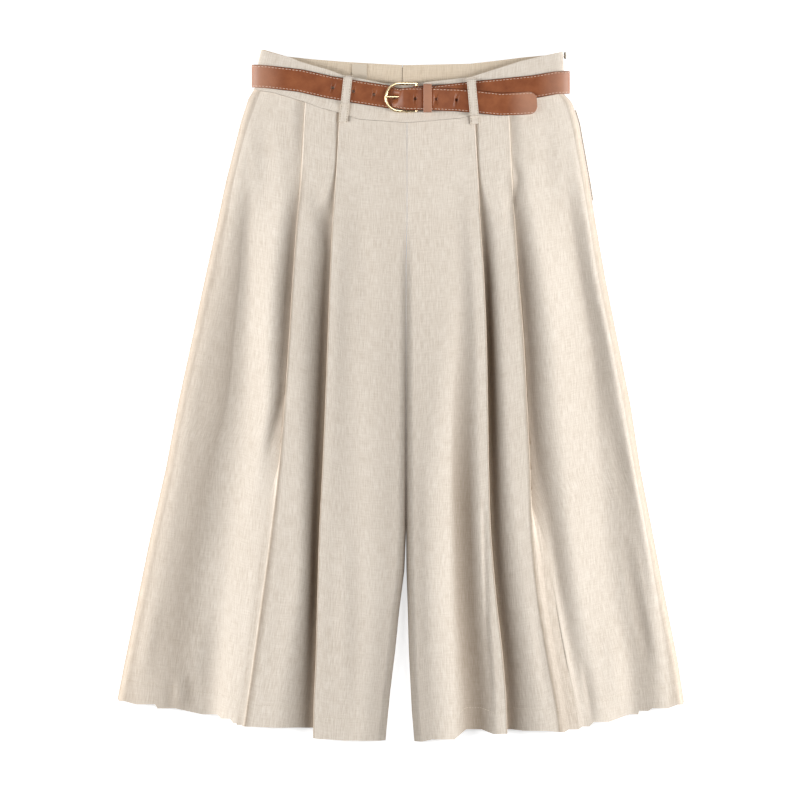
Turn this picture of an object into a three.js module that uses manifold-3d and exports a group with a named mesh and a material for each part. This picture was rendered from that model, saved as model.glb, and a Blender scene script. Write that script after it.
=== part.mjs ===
// Wide-leg pleated culottes of woven cloth with a leather belt, laid flat on a surface, front up.
// Millimetres. +Z is up off the surface, +Y runs from hem to waist, +X is to the right in a view
// from above, which is the wearer's left.

import * as THREE from 'three';
import { mergeVertices } from 'three/addons/utils/BufferGeometryUtils.js';
import Module from 'manifold-3d';

const wasm = await Module();
wasm.setup();

// ---------------------------------------------------------------- driving sizes

const PANEL = 1.2;             // wall of a leg panel
const BAND = 1.6;              // wall of a waistband, cloth and interfacing
const LOOP = { wall: 1.2, width: 9.7 };
const GAP = 0.3;               // clearance between pieces that meet
const LAYER = 1.6;             // one pleat layer to the next, centre to centre
const BAND_Z = 14.2;           // centre of the front waistband above the surface
const BACK_BAND_Z = 4.8;       // centre of the back waistband
const BAND_TOP = BAND_Z + BAND / 2;
const CROTCH_Y = 147;

const BELT = { width: 25, thick: 2.2, backZ: 2.6, endRun: 14, pitch: 22.6, hole: 2 };
const BUCKLE = { rod: 1.5, halfHeight: 15, leftX: -17.1, barX: 16.5, y: 327.4, z: BAND_TOP + 4.3 };
const BAR_Z = BUCKLE.z + 0.1;  // the bar's centre, a hair above the rim's
const COLLAR = { lowX: 4.9, highX: 7.1, proud: 0.5 };
const KEEPER = { lowX: 24, highX: 33, lowY: 310.9, highY: 342, height: 11.1, wall: 1.5 };

const CLOTH = new THREE.MeshStandardMaterial({ color: 0xe2d6c8, roughness: 0.9 });
const CLOTH_TAPE = new THREE.MeshStandardMaterial({ color: 0xd8ccba, roughness: 0.8 });
const LABEL = new THREE.MeshStandardMaterial({ color: 0xd6ccb6, roughness: 0.7 });
const LEATHER = new THREE.MeshStandardMaterial({ color: 0x96553a, roughness: 0.55 });
const GOLD = new THREE.MeshStandardMaterial({ color: 0xd9b87a, roughness: 0.25, metalness: 1 });
const STEEL = new THREE.MeshStandardMaterial({ color: 0x8c8478, roughness: 0.35, metalness: 1 });

const clamp = (value, low, high) => Math.min(high, Math.max(low, value));
const mix = (a, b, share) => a + (b - a) * share;

// Straight-line reading of a curve given as [place, value] rows in rising order of place.
function along(rows, place) {
  const last = rows.length - 1;
  const at = clamp(place, rows[0][0], rows[last][0]);
  let k = 0;
  while (k < last - 1 && at > rows[k + 1][0]) {
    k += 1;
  }
  const share = (at - rows[k][0]) / (rows[k + 1][0] - rows[k][0]);
  return mix(rows[k][1], rows[k + 1][1], share);
}

// ---------------------------------------------------------------- solids from grids and rings

function closedGeometry(points, triangles) {
  const geometry = new THREE.BufferGeometry();
  const places = points.flatMap((p) => [p.x, p.y, p.z]);
  geometry.setAttribute('position', new THREE.Float32BufferAttribute(places, 3));
  let volume = 0;
  for (const [a, b, c] of triangles) {
    volume += points[a].dot(points[b].clone().cross(points[c]));
  }
  const outward = volume > 0 ? triangles : triangles.map(([a, b, c]) => [a, c, b]);
  geometry.setIndex(outward.flat());
  return geometry;
}

// A cloth wall round a grid of points on its middle surface: rows[i][j] is a Vector3.
function clothWall(rows, wall) {
  const tall = rows.length;
  const wide = rows[0].length;
  const faceUp = [];
  const faceDown = [];
  for (let i = 0; i < tall; i += 1) {
    for (let j = 0; j < wide; j += 1) {
      const across = rows[i][Math.min(j + 1, wide - 1)].clone().sub(rows[i][Math.max(j - 1, 0)]);
      const down = rows[Math.min(i + 1, tall - 1)][j].clone().sub(rows[Math.max(i - 1, 0)][j]);
      const normal = across.cross(down).normalize();
      faceUp.push(rows[i][j].clone().addScaledVector(normal, wall / 2));
      faceDown.push(rows[i][j].clone().addScaledVector(normal, -wall / 2));
    }
  }
  const count = tall * wide;
  const triangles = [];
  for (let i = 0; i < tall - 1; i += 1) {
    for (let j = 0; j < wide - 1; j += 1) {
      const a = i * wide + j;
      const b = a + 1;
      const c = a + wide + 1;
      const d = a + wide;
      triangles.push([a, b, c], [a, c, d]);
      triangles.push([count + a, count + c, count + b], [count + a, count + d, count + c]);
    }
  }
  const rim = [];
  for (let j = 0; j < wide - 1; j += 1) {
    rim.push([j + 1, j], [(tall - 1) * wide + j, (tall - 1) * wide + j + 1]);
  }
  for (let i = 0; i < tall - 1; i += 1) {
    rim.push([i * wide, (i + 1) * wide], [(i + 2) * wide - 1, (i + 1) * wide - 1]);
  }
  for (const [a, b] of rim) {
    triangles.push([a, b, count + b], [a, count + b, count + a]);
  }
  return closedGeometry([...faceUp, ...faceDown], triangles);
}

// A solid through rings of the same number of points, closed by a flat cap at each end.
function loft(rings) {
  const size = rings[0].length;
  const triangles = [];
  for (let i = 0; i < rings.length - 1; i += 1) {
    for (let j = 0; j < size; j += 1) {
      const a = i * size + j;
      const b = i * size + ((j + 1) % size);
      triangles.push([a, b, b + size], [a, b + size, a + size]);
    }
  }
  const end = (rings.length - 1) * size;
  for (let j = 1; j < size - 1; j += 1) {
    triangles.push([0, j + 1, j], [end, end + j, end + j + 1]);
  }
  return closedGeometry(rings.flat(), triangles);
}

// A flat strip along a path. Each stop has its centre and its half width; the width lies as near
// to the direction given as the path allows.
function strip(path, wall, widthWay) {
  const rings = path.map((stop, k) => {
    const next = path[Math.min(k + 1, path.length - 1)].centre;
    const before = path[Math.max(k - 1, 0)].centre;
    const run = next.clone().sub(before).normalize();
    const side = widthWay.clone().addScaledVector(run, -widthWay.dot(run)).normalize();
    const up = run.clone().cross(side);
    const corner = (s, u) => stop.centre.clone().addScaledVector(side, s * stop.half)
      .addScaledVector(up, (u * wall) / 2);
    return [corner(-1, -1), corner(1, -1), corner(1, 1), corner(-1, 1)];
  });
  return loft(rings);
}

// A strap is a strip whose middle may stand higher than its edges, by each stop's crown. At a
// level stop it doesn't tilt sideways as it climbs.
function crownedStrap(path, wall, widthWay) {
  const shoulder = 0.55;
  const rings = path.map((stop, k) => {
    const next = path[Math.min(k + 1, path.length - 1)].centre;
    const before = path[Math.max(k - 1, 0)].centre;
    const run = next.clone().sub(before).normalize();
    const way = stop.level ? new THREE.Vector3(run.x, run.y, 0).normalize() : run;
    const side = widthWay.clone().addScaledVector(way, -widthWay.dot(way)).normalize();
    const up = side.clone().cross(run).normalize();
    const drop = (s) => new THREE.Vector3(0, 0, Math.abs(s) > shoulder ? -stop.crown : 0);
    const corner = (s, u) => stop.centre.clone().addScaledVector(side, s * stop.half)
      .addScaledVector(up, (u * wall) / 2).add(drop(s));
    return [corner(-1, -1), corner(-shoulder, -1), corner(shoulder, -1), corner(1, -1),
      corner(1, 1), corner(shoulder, 1), corner(-shoulder, 1), corner(-1, 1)];
  });
  return loft(rings);
}

// A round rod along a path, with a radius at each stop.
function rod(path, radiusAt, sides) {
  const rings = path.map((centre, k) => {
    const next = path[Math.min(k + 1, path.length - 1)];
    const before = path[Math.max(k - 1, 0)];
    const run = next.clone().sub(before).normalize();
    const side = run.clone().cross(new THREE.Vector3(0, 0, 1)).normalize();
    const up = side.clone().cross(run);
    return Array.from({ length: sides }, (_, s) => {
      const turn = (2 * Math.PI * s) / sides;
      return centre.clone().addScaledVector(side, radiusAt(k) * Math.cos(turn))
        .addScaledVector(up, radiusAt(k) * Math.sin(turn));
    });
  });
  return loft(rings);
}

// A line through corners [across, height, bend]: each corner is rounded over its own bend length.
function roundedLine(corners, steps) {
  const line = [];
  corners.forEach((corner, k) => {
    if (k === 0 || k === corners.length - 1) {
      line.push([corner[0], corner[1]]);
      return;
    }
    const before = corners[k - 1];
    const next = corners[k + 1];
    const backward = Math.hypot(before[0] - corner[0], before[1] - corner[1]);
    const forward = Math.hypot(next[0] - corner[0], next[1] - corner[1]);
    const bend = Math.min(corner[2], 0.45 * backward, 0.45 * forward);
    const enter = [0, 1].map((axis) => mix(corner[axis], before[axis], bend / backward));
    const leave = [0, 1].map((axis) => mix(corner[axis], next[axis], bend / forward));
    for (let s = 0; s <= steps; s += 1) {
      const t = s / steps;
      line.push([0, 1].map((axis) => {
        return mix(mix(enter[axis], corner[axis], t), mix(corner[axis], leave[axis], t), t);
      }));
    }
  });
  return line;
}

function toManifold(geometry) {
  const bare = geometry.clone();
  bare.deleteAttribute('normal');
  bare.deleteAttribute('uv');
  const merged = mergeVertices(bare, 1e-4);
  return new wasm.Manifold(new wasm.Mesh({
    numProp: 3,
    vertProperties: new Float32Array(merged.attributes.position.array),
    triVerts: new Uint32Array(merged.index.array),
  }));
}

function fromManifold(solid) {
  const mesh = solid.getMesh();
  const geometry = new THREE.BufferGeometry();
  geometry.setAttribute('position', new THREE.BufferAttribute(new Float32Array(mesh.vertProperties), 3));
  geometry.setIndex(new THREE.BufferAttribute(new Uint32Array(mesh.triVerts), 1));
  return geometry;
}

const group = new THREE.Group();
function piece(name, geometry, material) {
  const mesh = new THREE.Mesh(geometry, material);
  mesh.name = name;
  group.add(mesh);
}

// ---------------------------------------------------------------- outlines seen from above

// The seam between each waistband and its leg panels, and the bands' top edges: [x, y].
const FRONT_SEAM = [[-167, 336.6], [-142.5, 333.3], [-108.4, 323.4], [-87.5, 315.7], [-62.2, 309.1],
  [-46.8, 303.6], [6, 299.9], [64.4, 304.7], [86.4, 310], [113.9, 317.9], [141.4, 325.6], [187, 334.4]];
const FRONT_TOP = [[-153.5, 379.5], [-122.7, 371.8], [-111.7, 367], [-78.7, 357.5], [-64.4, 352],
  [-19.3, 343.2], [6, 342.1], [75.4, 349.8], [130.4, 367.4], [177.3, 378.4]];
const BACK_TOP = [[-151.3, 380.6], [-124.9, 372.9], [-98.5, 370.2], [-64.4, 367.4], [-28.1, 365.2],
  [3.9, 363.6], [75.4, 365.2], [104, 368.5], [130.4, 371.8], [165.6, 375.1], [176.6, 378.6]];
const BACK_BAND_WIDTH = 42;

// The side seams and inseams: [y, x outward]. The waist is drawn in where the belt holds it.
const RIGHT_SIDE = [[-385, 322], [-333, 311.9], [-290, 303.4], [-220, 289], [-150, 274.8], [-80, 258.8],
  [-10, 245.6], [60, 230.5], [130, 215.6], [190, 202.4], [236, 192.5], [300, 176.5], [327, 167.8],
  [335, 161], [341, 157.5], [366, 157], [380, 153.5]];
const LEFT_SIDE = [[-385, 320], [-337, 310.2], [-290, 303], [-220, 289], [-150, 275.6], [-80, 262.1],
  [-10, 251.4], [60, 237.4], [130, 223.5], [190, 213], [236, 205.7], [300, 194.2], [321, 187.5],
  [328, 180], [331, 177.3], [366, 177.3], [380, 176.6]];
const RIGHT_INSEAM = [[-385, 18.4], [-368, 17], [-324, 12.7], [-279, 7.2], [-235, 2.8], [-192, -2.7],
  [-148, -4.3], [CROTCH_Y, -4.3], [190, -5.4], [340, -5.4]];
const LEFT_INSEAM = [[-385, 14.9], [-346, 11.6], [-279, 8.3], [-235, 7.2], [-192, 5.8], [-148, 5.7],
  [CROTCH_Y, 5.7], [190, 6.6], [340, 6.6]];

// How high the side seams lie: they rise into the rounded ends of the waist. [y, middle of the back].
const SIDE_RISE = [[190, 0.6], [236, 2.4], [300, 5.2], [322, 6.7]];

// ---------------------------------------------------------------- pleated fronts

// Each front is one cloth with two knife pleats. Across the leg it runs from the inseam over the
// centre panel to the first fold, back under it, out again over the next panel to the second
// fold, back under that, and out to the side seam. A table has a row for each of these places
// and a column for each height up the leg: its distance out from x = 0, then its height.
const LEVELS = [340, 300, 236, 190, 130, 60, -10, -80, -150, -220, -290, -345, -385];

const RIGHT_FRONT = {
  out: -1,
  side: RIGHT_SIDE,
  inseam: RIGHT_INSEAM,
  across: {
    hollow: [20, 20, 20, 22, 26, 28, 27, 21.5, 18.5, 21, 26, 32, 36],
    crown: [45, 45, 48, 52, 58, 61, 58, 48, 36, 38, 44, 50, 54],
    pleat1: [66, 68.2, 72, 75.4, 78.3, 80.9, 83.5, 86.5, 90, 92.1, 93.9, 96.3, 96.7],
    depth1: [26, 26, 26, 26, 26, 26, 26, 26, 26, 26, 26, 24, 22],
    recess1: [72, 74, 79, 84, 88, 91, 94, 96, 98.5, 100, 105, 108, 109],
    pleat2: [104.5, 106.6, 110.2, 114.8, 119.1, 123.5, 128.4, 134.3, 142.2, 151.6, 161.4, 169.4, 175.2],
    depth2: [20, 20, 20, 20, 20, 18, 13, 4, -1, -4, -4, -4, -4],
    recess2: [110, 112, 116, 120, 125, 130, 138, 146, 155, 164, 173, 181, 187],
    ridge: [128, 134, 156.8, 160, 158.6, 153.5, 153.5, 156, 166, 177, 187, 195, 200],
    valley: [142, 152, 169, 176, 180, 186.6, 195.4, 205.8, 220.6, 238.6, 251.4, 252.5, 254],
  },
  height: {
    inseam: [14.2, 14.2, 14.2, 14.2, 11, 4.5, 2.5, 2.1, 2.1, 2.1, 2.1, 2.1, 2.1],
    roll: [14.2, 14.2, 14.2, 14.2, 14, 12, 11, 10.5, 10, 9.5, 9.5, 9.5, 9.5],
    hollow: [14.2, 14.2, 14.2, 14.3, 14.2, 13.5, 13, 12.6, 12.6, 12.6, 13, 13, 13],
    crown: [14.2, 14.2, 14.2, 14.6, 15, 15.5, 15.8, 15.8, 15.5, 15.2, 15, 15, 15],
    pleat1: [14.2, 14.2, 14.6, 15.8, 17, 17.5, 17.5, 17.5, 17, 17, 17, 16.5, 16.5],
    recess1: [11, 11, 10.8, 10, 9, 8.5, 8.5, 8.5, 8.5, 8.5, 8.5, 8.5, 8.5],
    pleat2: [13.8, 13.8, 13.8, 14.4, 15, 15.5, 15, 15, 15, 15.5, 15.5, 15, 15],
    recess2: [8.6, 8.6, 8.4, 8, 7.5, 7, 7.4, 9, 11.5, 12.5, 12.5, 12, 12],
    ridge: [12.8, 12.8, 12, 11.6, 11.2, 11.2, 11.4, 10.8, 10, 9.5, 9.5, 9, 9],
    valley: [12.6, 12, 7.8, 6, 5.4, 5.2, 5.2, 5.2, 5.2, 5.4, 5.6, 6, 6],
    roundedSide: [11.6, 10.8, 6.4, 4.8, 4.6, 4.6, 4.8, 4.8, 4.8, 4.8, 4.8, 4.8, 4.8],
  },
  hem: {
    inseam: -378.4, roll: -378.4, hollow: -378.4, crown: -378.2, pleat1: -375.4, under1: -367,
    recess1: -364.5, pleat2: -362.7, under2: -361, recess2: -359, ridge: -354.4, valley: -342.5,
    roundedSide: -336, side: -332.8,
  },
};

const LEFT_FRONT = {
  out: 1,
  side: LEFT_SIDE,
  inseam: LEFT_INSEAM,
  across: {
    hollow: [40, 42, 44, 46, 56, 58.9, 57, 52, 49.5, 51, 56, 58.9, 60],
    crown: [60, 62, 64, 68, 76, 83, 80, 77.6, 77.6, 79, 84, 87.5, 89],
    pleat1: [79, 80.3, 83.8, 86.4, 90.3, 93.1, 94.4, 95.6, 97.8, 103.5, 111.2, 115.1, 116],
    depth1: [26, 26, 26, 26, 26, 26, 26, 26, 26, 26, 26, 24, 22],
    recess1: [85, 86, 91, 94, 97, 99, 101, 103, 107, 115, 123.5, 128.5, 129],
    pleat2: [115.5, 118.1, 121, 124.2, 128.5, 134, 137.6, 142.8, 148.9, 159, 169.5, 175.6, 178.8],
    depth2: [20, 20, 20, 20, 20, 18, 16, 12, 6, 0, -4, -4, -4],
    recess2: [122, 124, 127, 131, 135, 140.4, 145.5, 154.5, 168, 181, 194, 202, 206],
    ridge: [146, 150, 170, 176, 176.6, 183.4, 190.9, 190.9, 197, 207, 217, 223, 226],
    valley: [160, 168, 184, 192, 201.9, 214.3, 228.9, 242, 254, 264, 273, 280, 284],
  },
  height: {
    inseam: [14.2, 14.2, 14.2, 14.2, 11, 4.5, 2.5, 2.1, 2.1, 2.1, 2.1, 2.1, 2.1],
    roll: [14.2, 14.2, 14.2, 14.2, 14, 12, 11, 10.5, 10, 9.5, 9.5, 9.5, 9.5],
    hollow: [14.2, 14.2, 14.2, 14.4, 15, 15.8, 16, 16, 16, 15.8, 15.6, 15.6, 15.6],
    crown: [14.2, 14.2, 14.2, 14.2, 14.2, 14, 13.4, 12.8, 12.6, 12.4, 12, 12, 12],
    pleat1: [14.2, 14.2, 14.6, 15.4, 16.5, 17, 17, 17, 17, 17, 16.8, 16.5, 16.5],
    recess1: [11, 11, 10.8, 10, 9.4, 9, 9, 9, 8.8, 8.6, 8.5, 8.5, 8.5],
    pleat2: [13.8, 13.8, 13.8, 14.4, 15, 15.5, 15.5, 15.5, 15.5, 15.5, 15.5, 15, 15],
    recess2: [8.6, 8.6, 8.4, 8, 7.5, 7.2, 7.2, 7.2, 7.4, 7.8, 8.6, 9, 9],
    ridge: [12.8, 12.8, 12, 11.6, 11.2, 11.2, 11.4, 11, 10.6, 10, 9.4, 9, 9],
    valley: [12.6, 12, 7.8, 6, 5.4, 5.2, 5.2, 5.2, 5.2, 5.4, 5.6, 6, 6],
    roundedSide: [11.6, 10.8, 6.4, 4.8, 4.6, 4.6, 4.8, 4.8, 4.8, 4.8, 4.8, 4.8, 4.8],
  },
  hem: {
    inseam: -379.5, roll: -379.5, hollow: -376, crown: -364.5, pleat1: -370.5, under1: -366,
    recess1: -366.3, pleat2: -368.8, under2: -366, recess2: -363, ridge: -358, valley: -346.5,
    roundedSide: -340.5, side: -336.6,
  },
};

const FOLD_BEND = 0.8;         // rounding of a pressed pleat fold
const SOFT_BEND = 12;          // rounding of a soft swell or hollow
const CORNER_STEPS = 2;
const ROLL_IN = 12;            // the cloth turns down this far from an inseam
const SIDE_ROLL = 14;          // and this far from a side seam

function level(values, y) {
  return along(LEVELS.map((at, k) => [at, values[k]]).reverse(), y);
}

// The corners of one front's section at height y, from inseam to side seam: [across, height, bend].
function frontCorners(leg, y) {
  const at = Object.fromEntries(Object.entries(leg.across).map(([key, row]) => [key, level(row, y)]));
  const up = Object.fromEntries(Object.entries(leg.height).map(([key, row]) => [key, level(row, y)]));
  const inner = along(leg.inseam, y);
  const outer = along(leg.side, y);
  const under1 = at.pleat1 - at.depth1;
  const under2 = at.pleat2 - at.depth2;
  const folded = clamp(at.depth2 / 8, 0, 1);
  const low2 = up.pleat2 - LAYER;
  const slope = (share) => [mix(at.pleat2, at.recess2, share), mix(low2, up.recess2, share)];
  const [firstAcross, firstUp] = slope(1 / 3);
  const [secondAcross, secondUp] = slope(2 / 3);
  return [
    [inner, up.inseam, 0],
    [inner + ROLL_IN, up.roll, SOFT_BEND],
    [at.hollow, up.hollow, SOFT_BEND],
    [at.crown, up.crown, SOFT_BEND],
    [at.pleat1, up.pleat1, FOLD_BEND],
    [at.pleat1, up.pleat1 - LAYER, FOLD_BEND],
    [under1, up.recess1 + LAYER, FOLD_BEND],
    [under1, up.recess1, FOLD_BEND],
    [at.recess1, up.recess1, SOFT_BEND],
    [at.pleat2, up.pleat2, FOLD_BEND],
    [mix(mix(at.pleat2, at.recess2, 0.15), at.pleat2, folded), low2, FOLD_BEND],
    [mix(firstAcross, under2, folded), mix(firstUp, up.recess2 + LAYER, folded), FOLD_BEND],
    [mix(secondAcross, under2, folded), mix(secondUp, up.recess2, folded), FOLD_BEND],
    [at.recess2, up.recess2, SOFT_BEND],
    [at.ridge, up.ridge, SOFT_BEND],
    [at.valley, up.valley, SOFT_BEND],
    [outer - SIDE_ROLL, up.roundedSide, SOFT_BEND],
    [outer, along(SIDE_RISE, y) + PANEL + 2 * GAP, 0],
  ];
}

// Where each corner's column ends at the hem, in the same order as the corners.
function hemOf(leg) {
  const h = leg.hem;
  return [h.inseam, h.roll, h.hollow, h.crown, h.pleat1, h.pleat1, h.under1, h.under1, h.recess1,
    h.pleat2, h.pleat2, h.under2, h.under2, h.recess2, h.ridge, h.valley, h.roundedSide, h.side];
}

// How far down the leg each row of the grid lies: close together where the pleats are released.
const ROWS = [0, 0.04, 0.08, 0.11, 0.15, 0.21, 0.28, 0.36, 0.45, 0.54, 0.63, 0.72, 0.81, 0.9, 0.96, 1];

function pleatedFront(leg) {
  const hems = hemOf(leg);
  const last = hems.length - 1;
  const hemColumn = hems.flatMap((hem, k) => {
    return k === 0 || k === last ? [hem] : Array(CORNER_STEPS + 1).fill(hem);
  });
  const read = (y) => roundedLine(frontCorners(leg, y), CORNER_STEPS);
  const rows = ROWS.map((share) => hemColumn.map((hem, j) => {
    let topY = along(FRONT_SEAM, leg.out * read(FRONT_SEAM[6][1])[j][0]);
    topY = along(FRONT_SEAM, leg.out * read(topY)[j][0]) - GAP / 2;
    const y = mix(topY, hem, share);
    const [across, up] = read(y)[j];
    return new THREE.Vector3(leg.out * across, y, up);
  }));
  return clothWall(rows, PANEL);
}

piece('front_right', pleatedFront(RIGHT_FRONT), CLOTH);
piece('front_left', pleatedFront(LEFT_FRONT), CLOTH);

// ---------------------------------------------------------------- backs

// Each back lies flat on the surface, rises over the belt to its waistband, and turns up a
// little where its side seam meets the front. Its hem is a little shorter than the front's.
const BACK_COLUMNS = [0, 0.1, 0.2, 0.3, 0.4, 0.5, 0.6, 0.7, 0.78, 0.85, 0.91, 0.96, 1];
const BACK_ROWS = [0, 0.02, 0.04, 0.06, 0.1, 0.16, 0.24, 0.34, 0.46, 0.6, 0.75, 0.9, 1];
// The backs' hem, a little above the lowest part of the fronts': [x outward, y].
const BACK_HEM = [[-20, -373], [60, -371], [100, -362], [150, -357], [200, -349], [250, -338], [320, -327]];
const BACK_SEAM_GAP = 0.6;     // the rising panel and the band meet at a slant
const BACK_LIFT = [[286, 0], [300, 0.6], [314, 2.6], [322, 4]];
const EDGE_TURN = 26;

function flatBack(leg) {
  const rows = BACK_ROWS.map((share) => BACK_COLUMNS.map((column) => {
    const place = (y) => mix(along(leg.inseam, y), along(leg.side, y), column);
    let topY = 330;
    for (let pass = 0; pass < 5; pass += 1) {
      topY = along(BACK_TOP, leg.out * place(topY)) - BACK_BAND_WIDTH - BACK_SEAM_GAP;
    }
    const hem = along(BACK_HEM, place(-350));
    const y = mix(topY, hem, share);
    const outer = along(leg.side, y);
    const turned = clamp(1 - (outer - place(y)) / EDGE_TURN, 0, 1) ** 2;
    const flat = PANEL / 2 + along(BACK_LIFT, y);
    return new THREE.Vector3(leg.out * place(y), y, mix(flat, Math.max(flat, along(SIDE_RISE, y)), turned));
  }));
  return clothWall(rows, PANEL);
}

piece('back_right', flatBack(RIGHT_FRONT), CLOTH);
piece('back_left', flatBack(LEFT_FRONT), CLOTH);

// ---------------------------------------------------------------- waistbands

const BAND_STEPS = 24;
const BAND_ROUND = 12;         // the waist turns over within this distance of each side
const FRONT_EDGE_Z = 8.7;
const BACK_EDGE_Z = 6.8;

// One point of a waistband: column runs 0 to 1 from the wearer's right side to the left side,
// and row 0 to 1 from the top edge to the seam.
function bandPoint(band, column, row) {
  const topOf = (x) => along(band.top, x);
  const seamOf = (x) => (band.seam ? along(band.seam, x) : topOf(x) - BACK_BAND_WIDTH) + GAP / 2;
  const rough = mix(-157, 177, column);
  const y = mix(topOf(rough), seamOf(rough), row);
  const low = -along(RIGHT_SIDE, y);
  const high = along(LEFT_SIDE, y);
  const x = mix(low, high, column);
  const inward = clamp(Math.min(x - low, high - x) / BAND_ROUND, 0, 1);
  const z = mix(band.edgeZ, band.z, Math.sqrt(1 - (1 - inward) ** 2));
  return new THREE.Vector3(x, mix(topOf(x), seamOf(x), row), z);
}

// Columns crowd together at the rounded sides.
function waistband(band, from, to) {
  const columns = Array.from({ length: BAND_STEPS + 1 }, (_, k) => {
    return (1 - Math.cos(Math.PI * mix(from, to, k / BAND_STEPS))) / 2;
  });
  const rows = [0, 0.35, 0.7, 1].map((row) => columns.map((column) => bandPoint(band, column, row)));
  return clothWall(rows, BAND);
}

const FRONT_BAND = { top: FRONT_TOP, seam: FRONT_SEAM, z: BAND_Z, edgeZ: FRONT_EDGE_Z };
const BACK_BAND = { top: BACK_TOP, seam: null, z: BACK_BAND_Z, edgeZ: BACK_EDGE_Z };
const CENTRE_BACK = 0.482;     // share of the way round at which the back bands meet

piece('front_waistband', waistband(FRONT_BAND, 0, 1), CLOTH);
piece('back_waistband_right', waistband(BACK_BAND, 0, CENTRE_BACK), CLOTH);
piece('back_waistband_left', waistband(BACK_BAND, CENTRE_BACK + 0.001, 1), CLOTH);

// A blank woven label lies on the inside of the back waistband, beside the belt loop.
const LABEL_SIZE = { lowX: -54.5, highX: -38, lowY: 348, highY: 365, wall: 1 };
const labelZ = BACK_BAND_Z + BAND / 2 + GAP + LABEL_SIZE.wall / 2;
piece('blank_label', clothWall([LABEL_SIZE.highY, LABEL_SIZE.lowY].map((y) => {
  return [LABEL_SIZE.lowX, LABEL_SIZE.highX].map((x) => new THREE.Vector3(x, y, labelZ));
}), LABEL_SIZE.wall), LABEL);

// ---------------------------------------------------------------- belt

// The strap's own centre line. It starts at the tip, runs over the buckle's bar and under the
// buckle's rim, round the wearer's right side, along the back, round the left side, and ends
// folded round the bar. Heights here are above the front waistband.
const TIP_RUN_Y = [[-163.8, 352.3], [-150, 350.4], [-111.7, 346], [-78.7, 338.6], [-52, 334], [-19.3, 328.9],
  [0, 325.6], [28, 325.4], [61, 324.5], [85, 322.4], [108.4, 319.8], [130.4, 320.6], [148.5, 321.8]];
const PRONG_HOLE_X = -7.6;
const TIP_RUN_Z = [[-150, 1.4], [-10.4, 1.4], [PRONG_HOLE_X, 4.6], [-3.5, 8.2], [2, 9.6],
  [BUCKLE.barX, 9.8], [22.5, 8.3], [35, 8.2], [48, 6], [60, 4], [148.5, 4]];
const END_RUN_Y = [[BUCKLE.barX, 327.4], [36, 327.7], [46, 329], [82, 333], [123.8, 337.2], [146.9, 339.6],
  [169.7, 343.6], [184.8, 345.2]];
const END_RUN_Z = [[BUCKLE.barX, 7.3], [22.5, 5.7], [36, 5.7], [50, 3], [58, 1.5], [170, 1.4]];
const RETURN_Z = [[BUCKLE.barX, 1.5], [22.5, 3.2], [35, 3.2], [42, 2.9]];
const CROWN = [[-10.4, 0], [PRONG_HOLE_X, 3.2], [-3.5, 3.8], [2, 1.6], [8, 0]];
const CROWN_DRAW = 0.38;       // a crowned strap draws in by this share of its crown at each edge
const WRAP = BUCKLE.rod + GAP + BELT.thick / 2;
const SIDE_CENTRE = { right: -149.4, left: 169.7 };
const BACK_SHIFT = { right: 1.9, left: 1.6 };
const TIP_X = 148.5;

const beltHeight = BAND_TOP + 1.4;
const sideRise = (beltHeight - BELT.backZ) / 2;
const point = (x, y, z) => new THREE.Vector3(x, y, z);

function beltLine() {
  const line = [];
  const lay = (x, run, height) => line.push(point(x, along(run, x), BAND_TOP + along(height, x)));
  for (let x = TIP_X; x > 62; x -= 9) {
    lay(x, TIP_RUN_Y, TIP_RUN_Z);
  }
  for (let x = 61; x > -28; x -= 3) {
    lay(x, TIP_RUN_Y, TIP_RUN_Z);
  }
  for (let x = -34; x > SIDE_CENTRE.right; x -= 9) {
    line.push(point(x, along(TIP_RUN_Y, x), beltHeight));
  }
  const startY = along(TIP_RUN_Y, SIDE_CENTRE.right);
  const endY = along(END_RUN_Y, SIDE_CENTRE.left);
  const backRight = startY + BACK_SHIFT.right;
  const backLeft = endY + BACK_SHIFT.left;
  for (let s = 0; s <= 12; s += 1) {
    const turn = (Math.PI * s) / 12;
    line.push(point(SIDE_CENTRE.right - BELT.endRun * Math.sin(turn), mix(startY, backRight, s / 12),
      BELT.backZ + sideRise * (1 + Math.cos(turn))));
  }
  for (let s = 1; s < 12; s += 1) {
    const x = mix(SIDE_CENTRE.right, SIDE_CENTRE.left, s / 12);
    line.push(point(x, mix(backRight, backLeft, s / 12), BELT.backZ));
  }
  for (let s = 0; s <= 12; s += 1) {
    const turn = (Math.PI * s) / 12;
    line.push(point(SIDE_CENTRE.left + BELT.endRun * Math.sin(turn), mix(backLeft, endY, s / 12),
      BELT.backZ + sideRise * (1 - Math.cos(turn))));
  }
  for (let x = 160; x > 62; x -= 10) {
    line.push(point(x, along(END_RUN_Y, x), beltHeight));
  }
  for (let x = 58; x > BUCKLE.barX; x -= 4) {
    lay(x, END_RUN_Y, END_RUN_Z);
  }
  for (let s = 0; s <= 8; s += 1) {
    const turn = (Math.PI * s) / 8;
    const x = BUCKLE.barX - WRAP * Math.sin(turn);
    line.push(point(x, BUCKLE.y, BAR_Z + WRAP * Math.cos(turn)));
  }
  for (let x = 20; x <= 42; x += 4) {
    lay(x, END_RUN_Y, RETURN_Z);
  }
  return line;
}

// The tip narrows over its last few millimetres to a blunt rounded point.
const TIP_TAPER = [[0, 6.5], [2.5, 9.6], [6, 12], [9, BELT.width / 2]];

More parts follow.
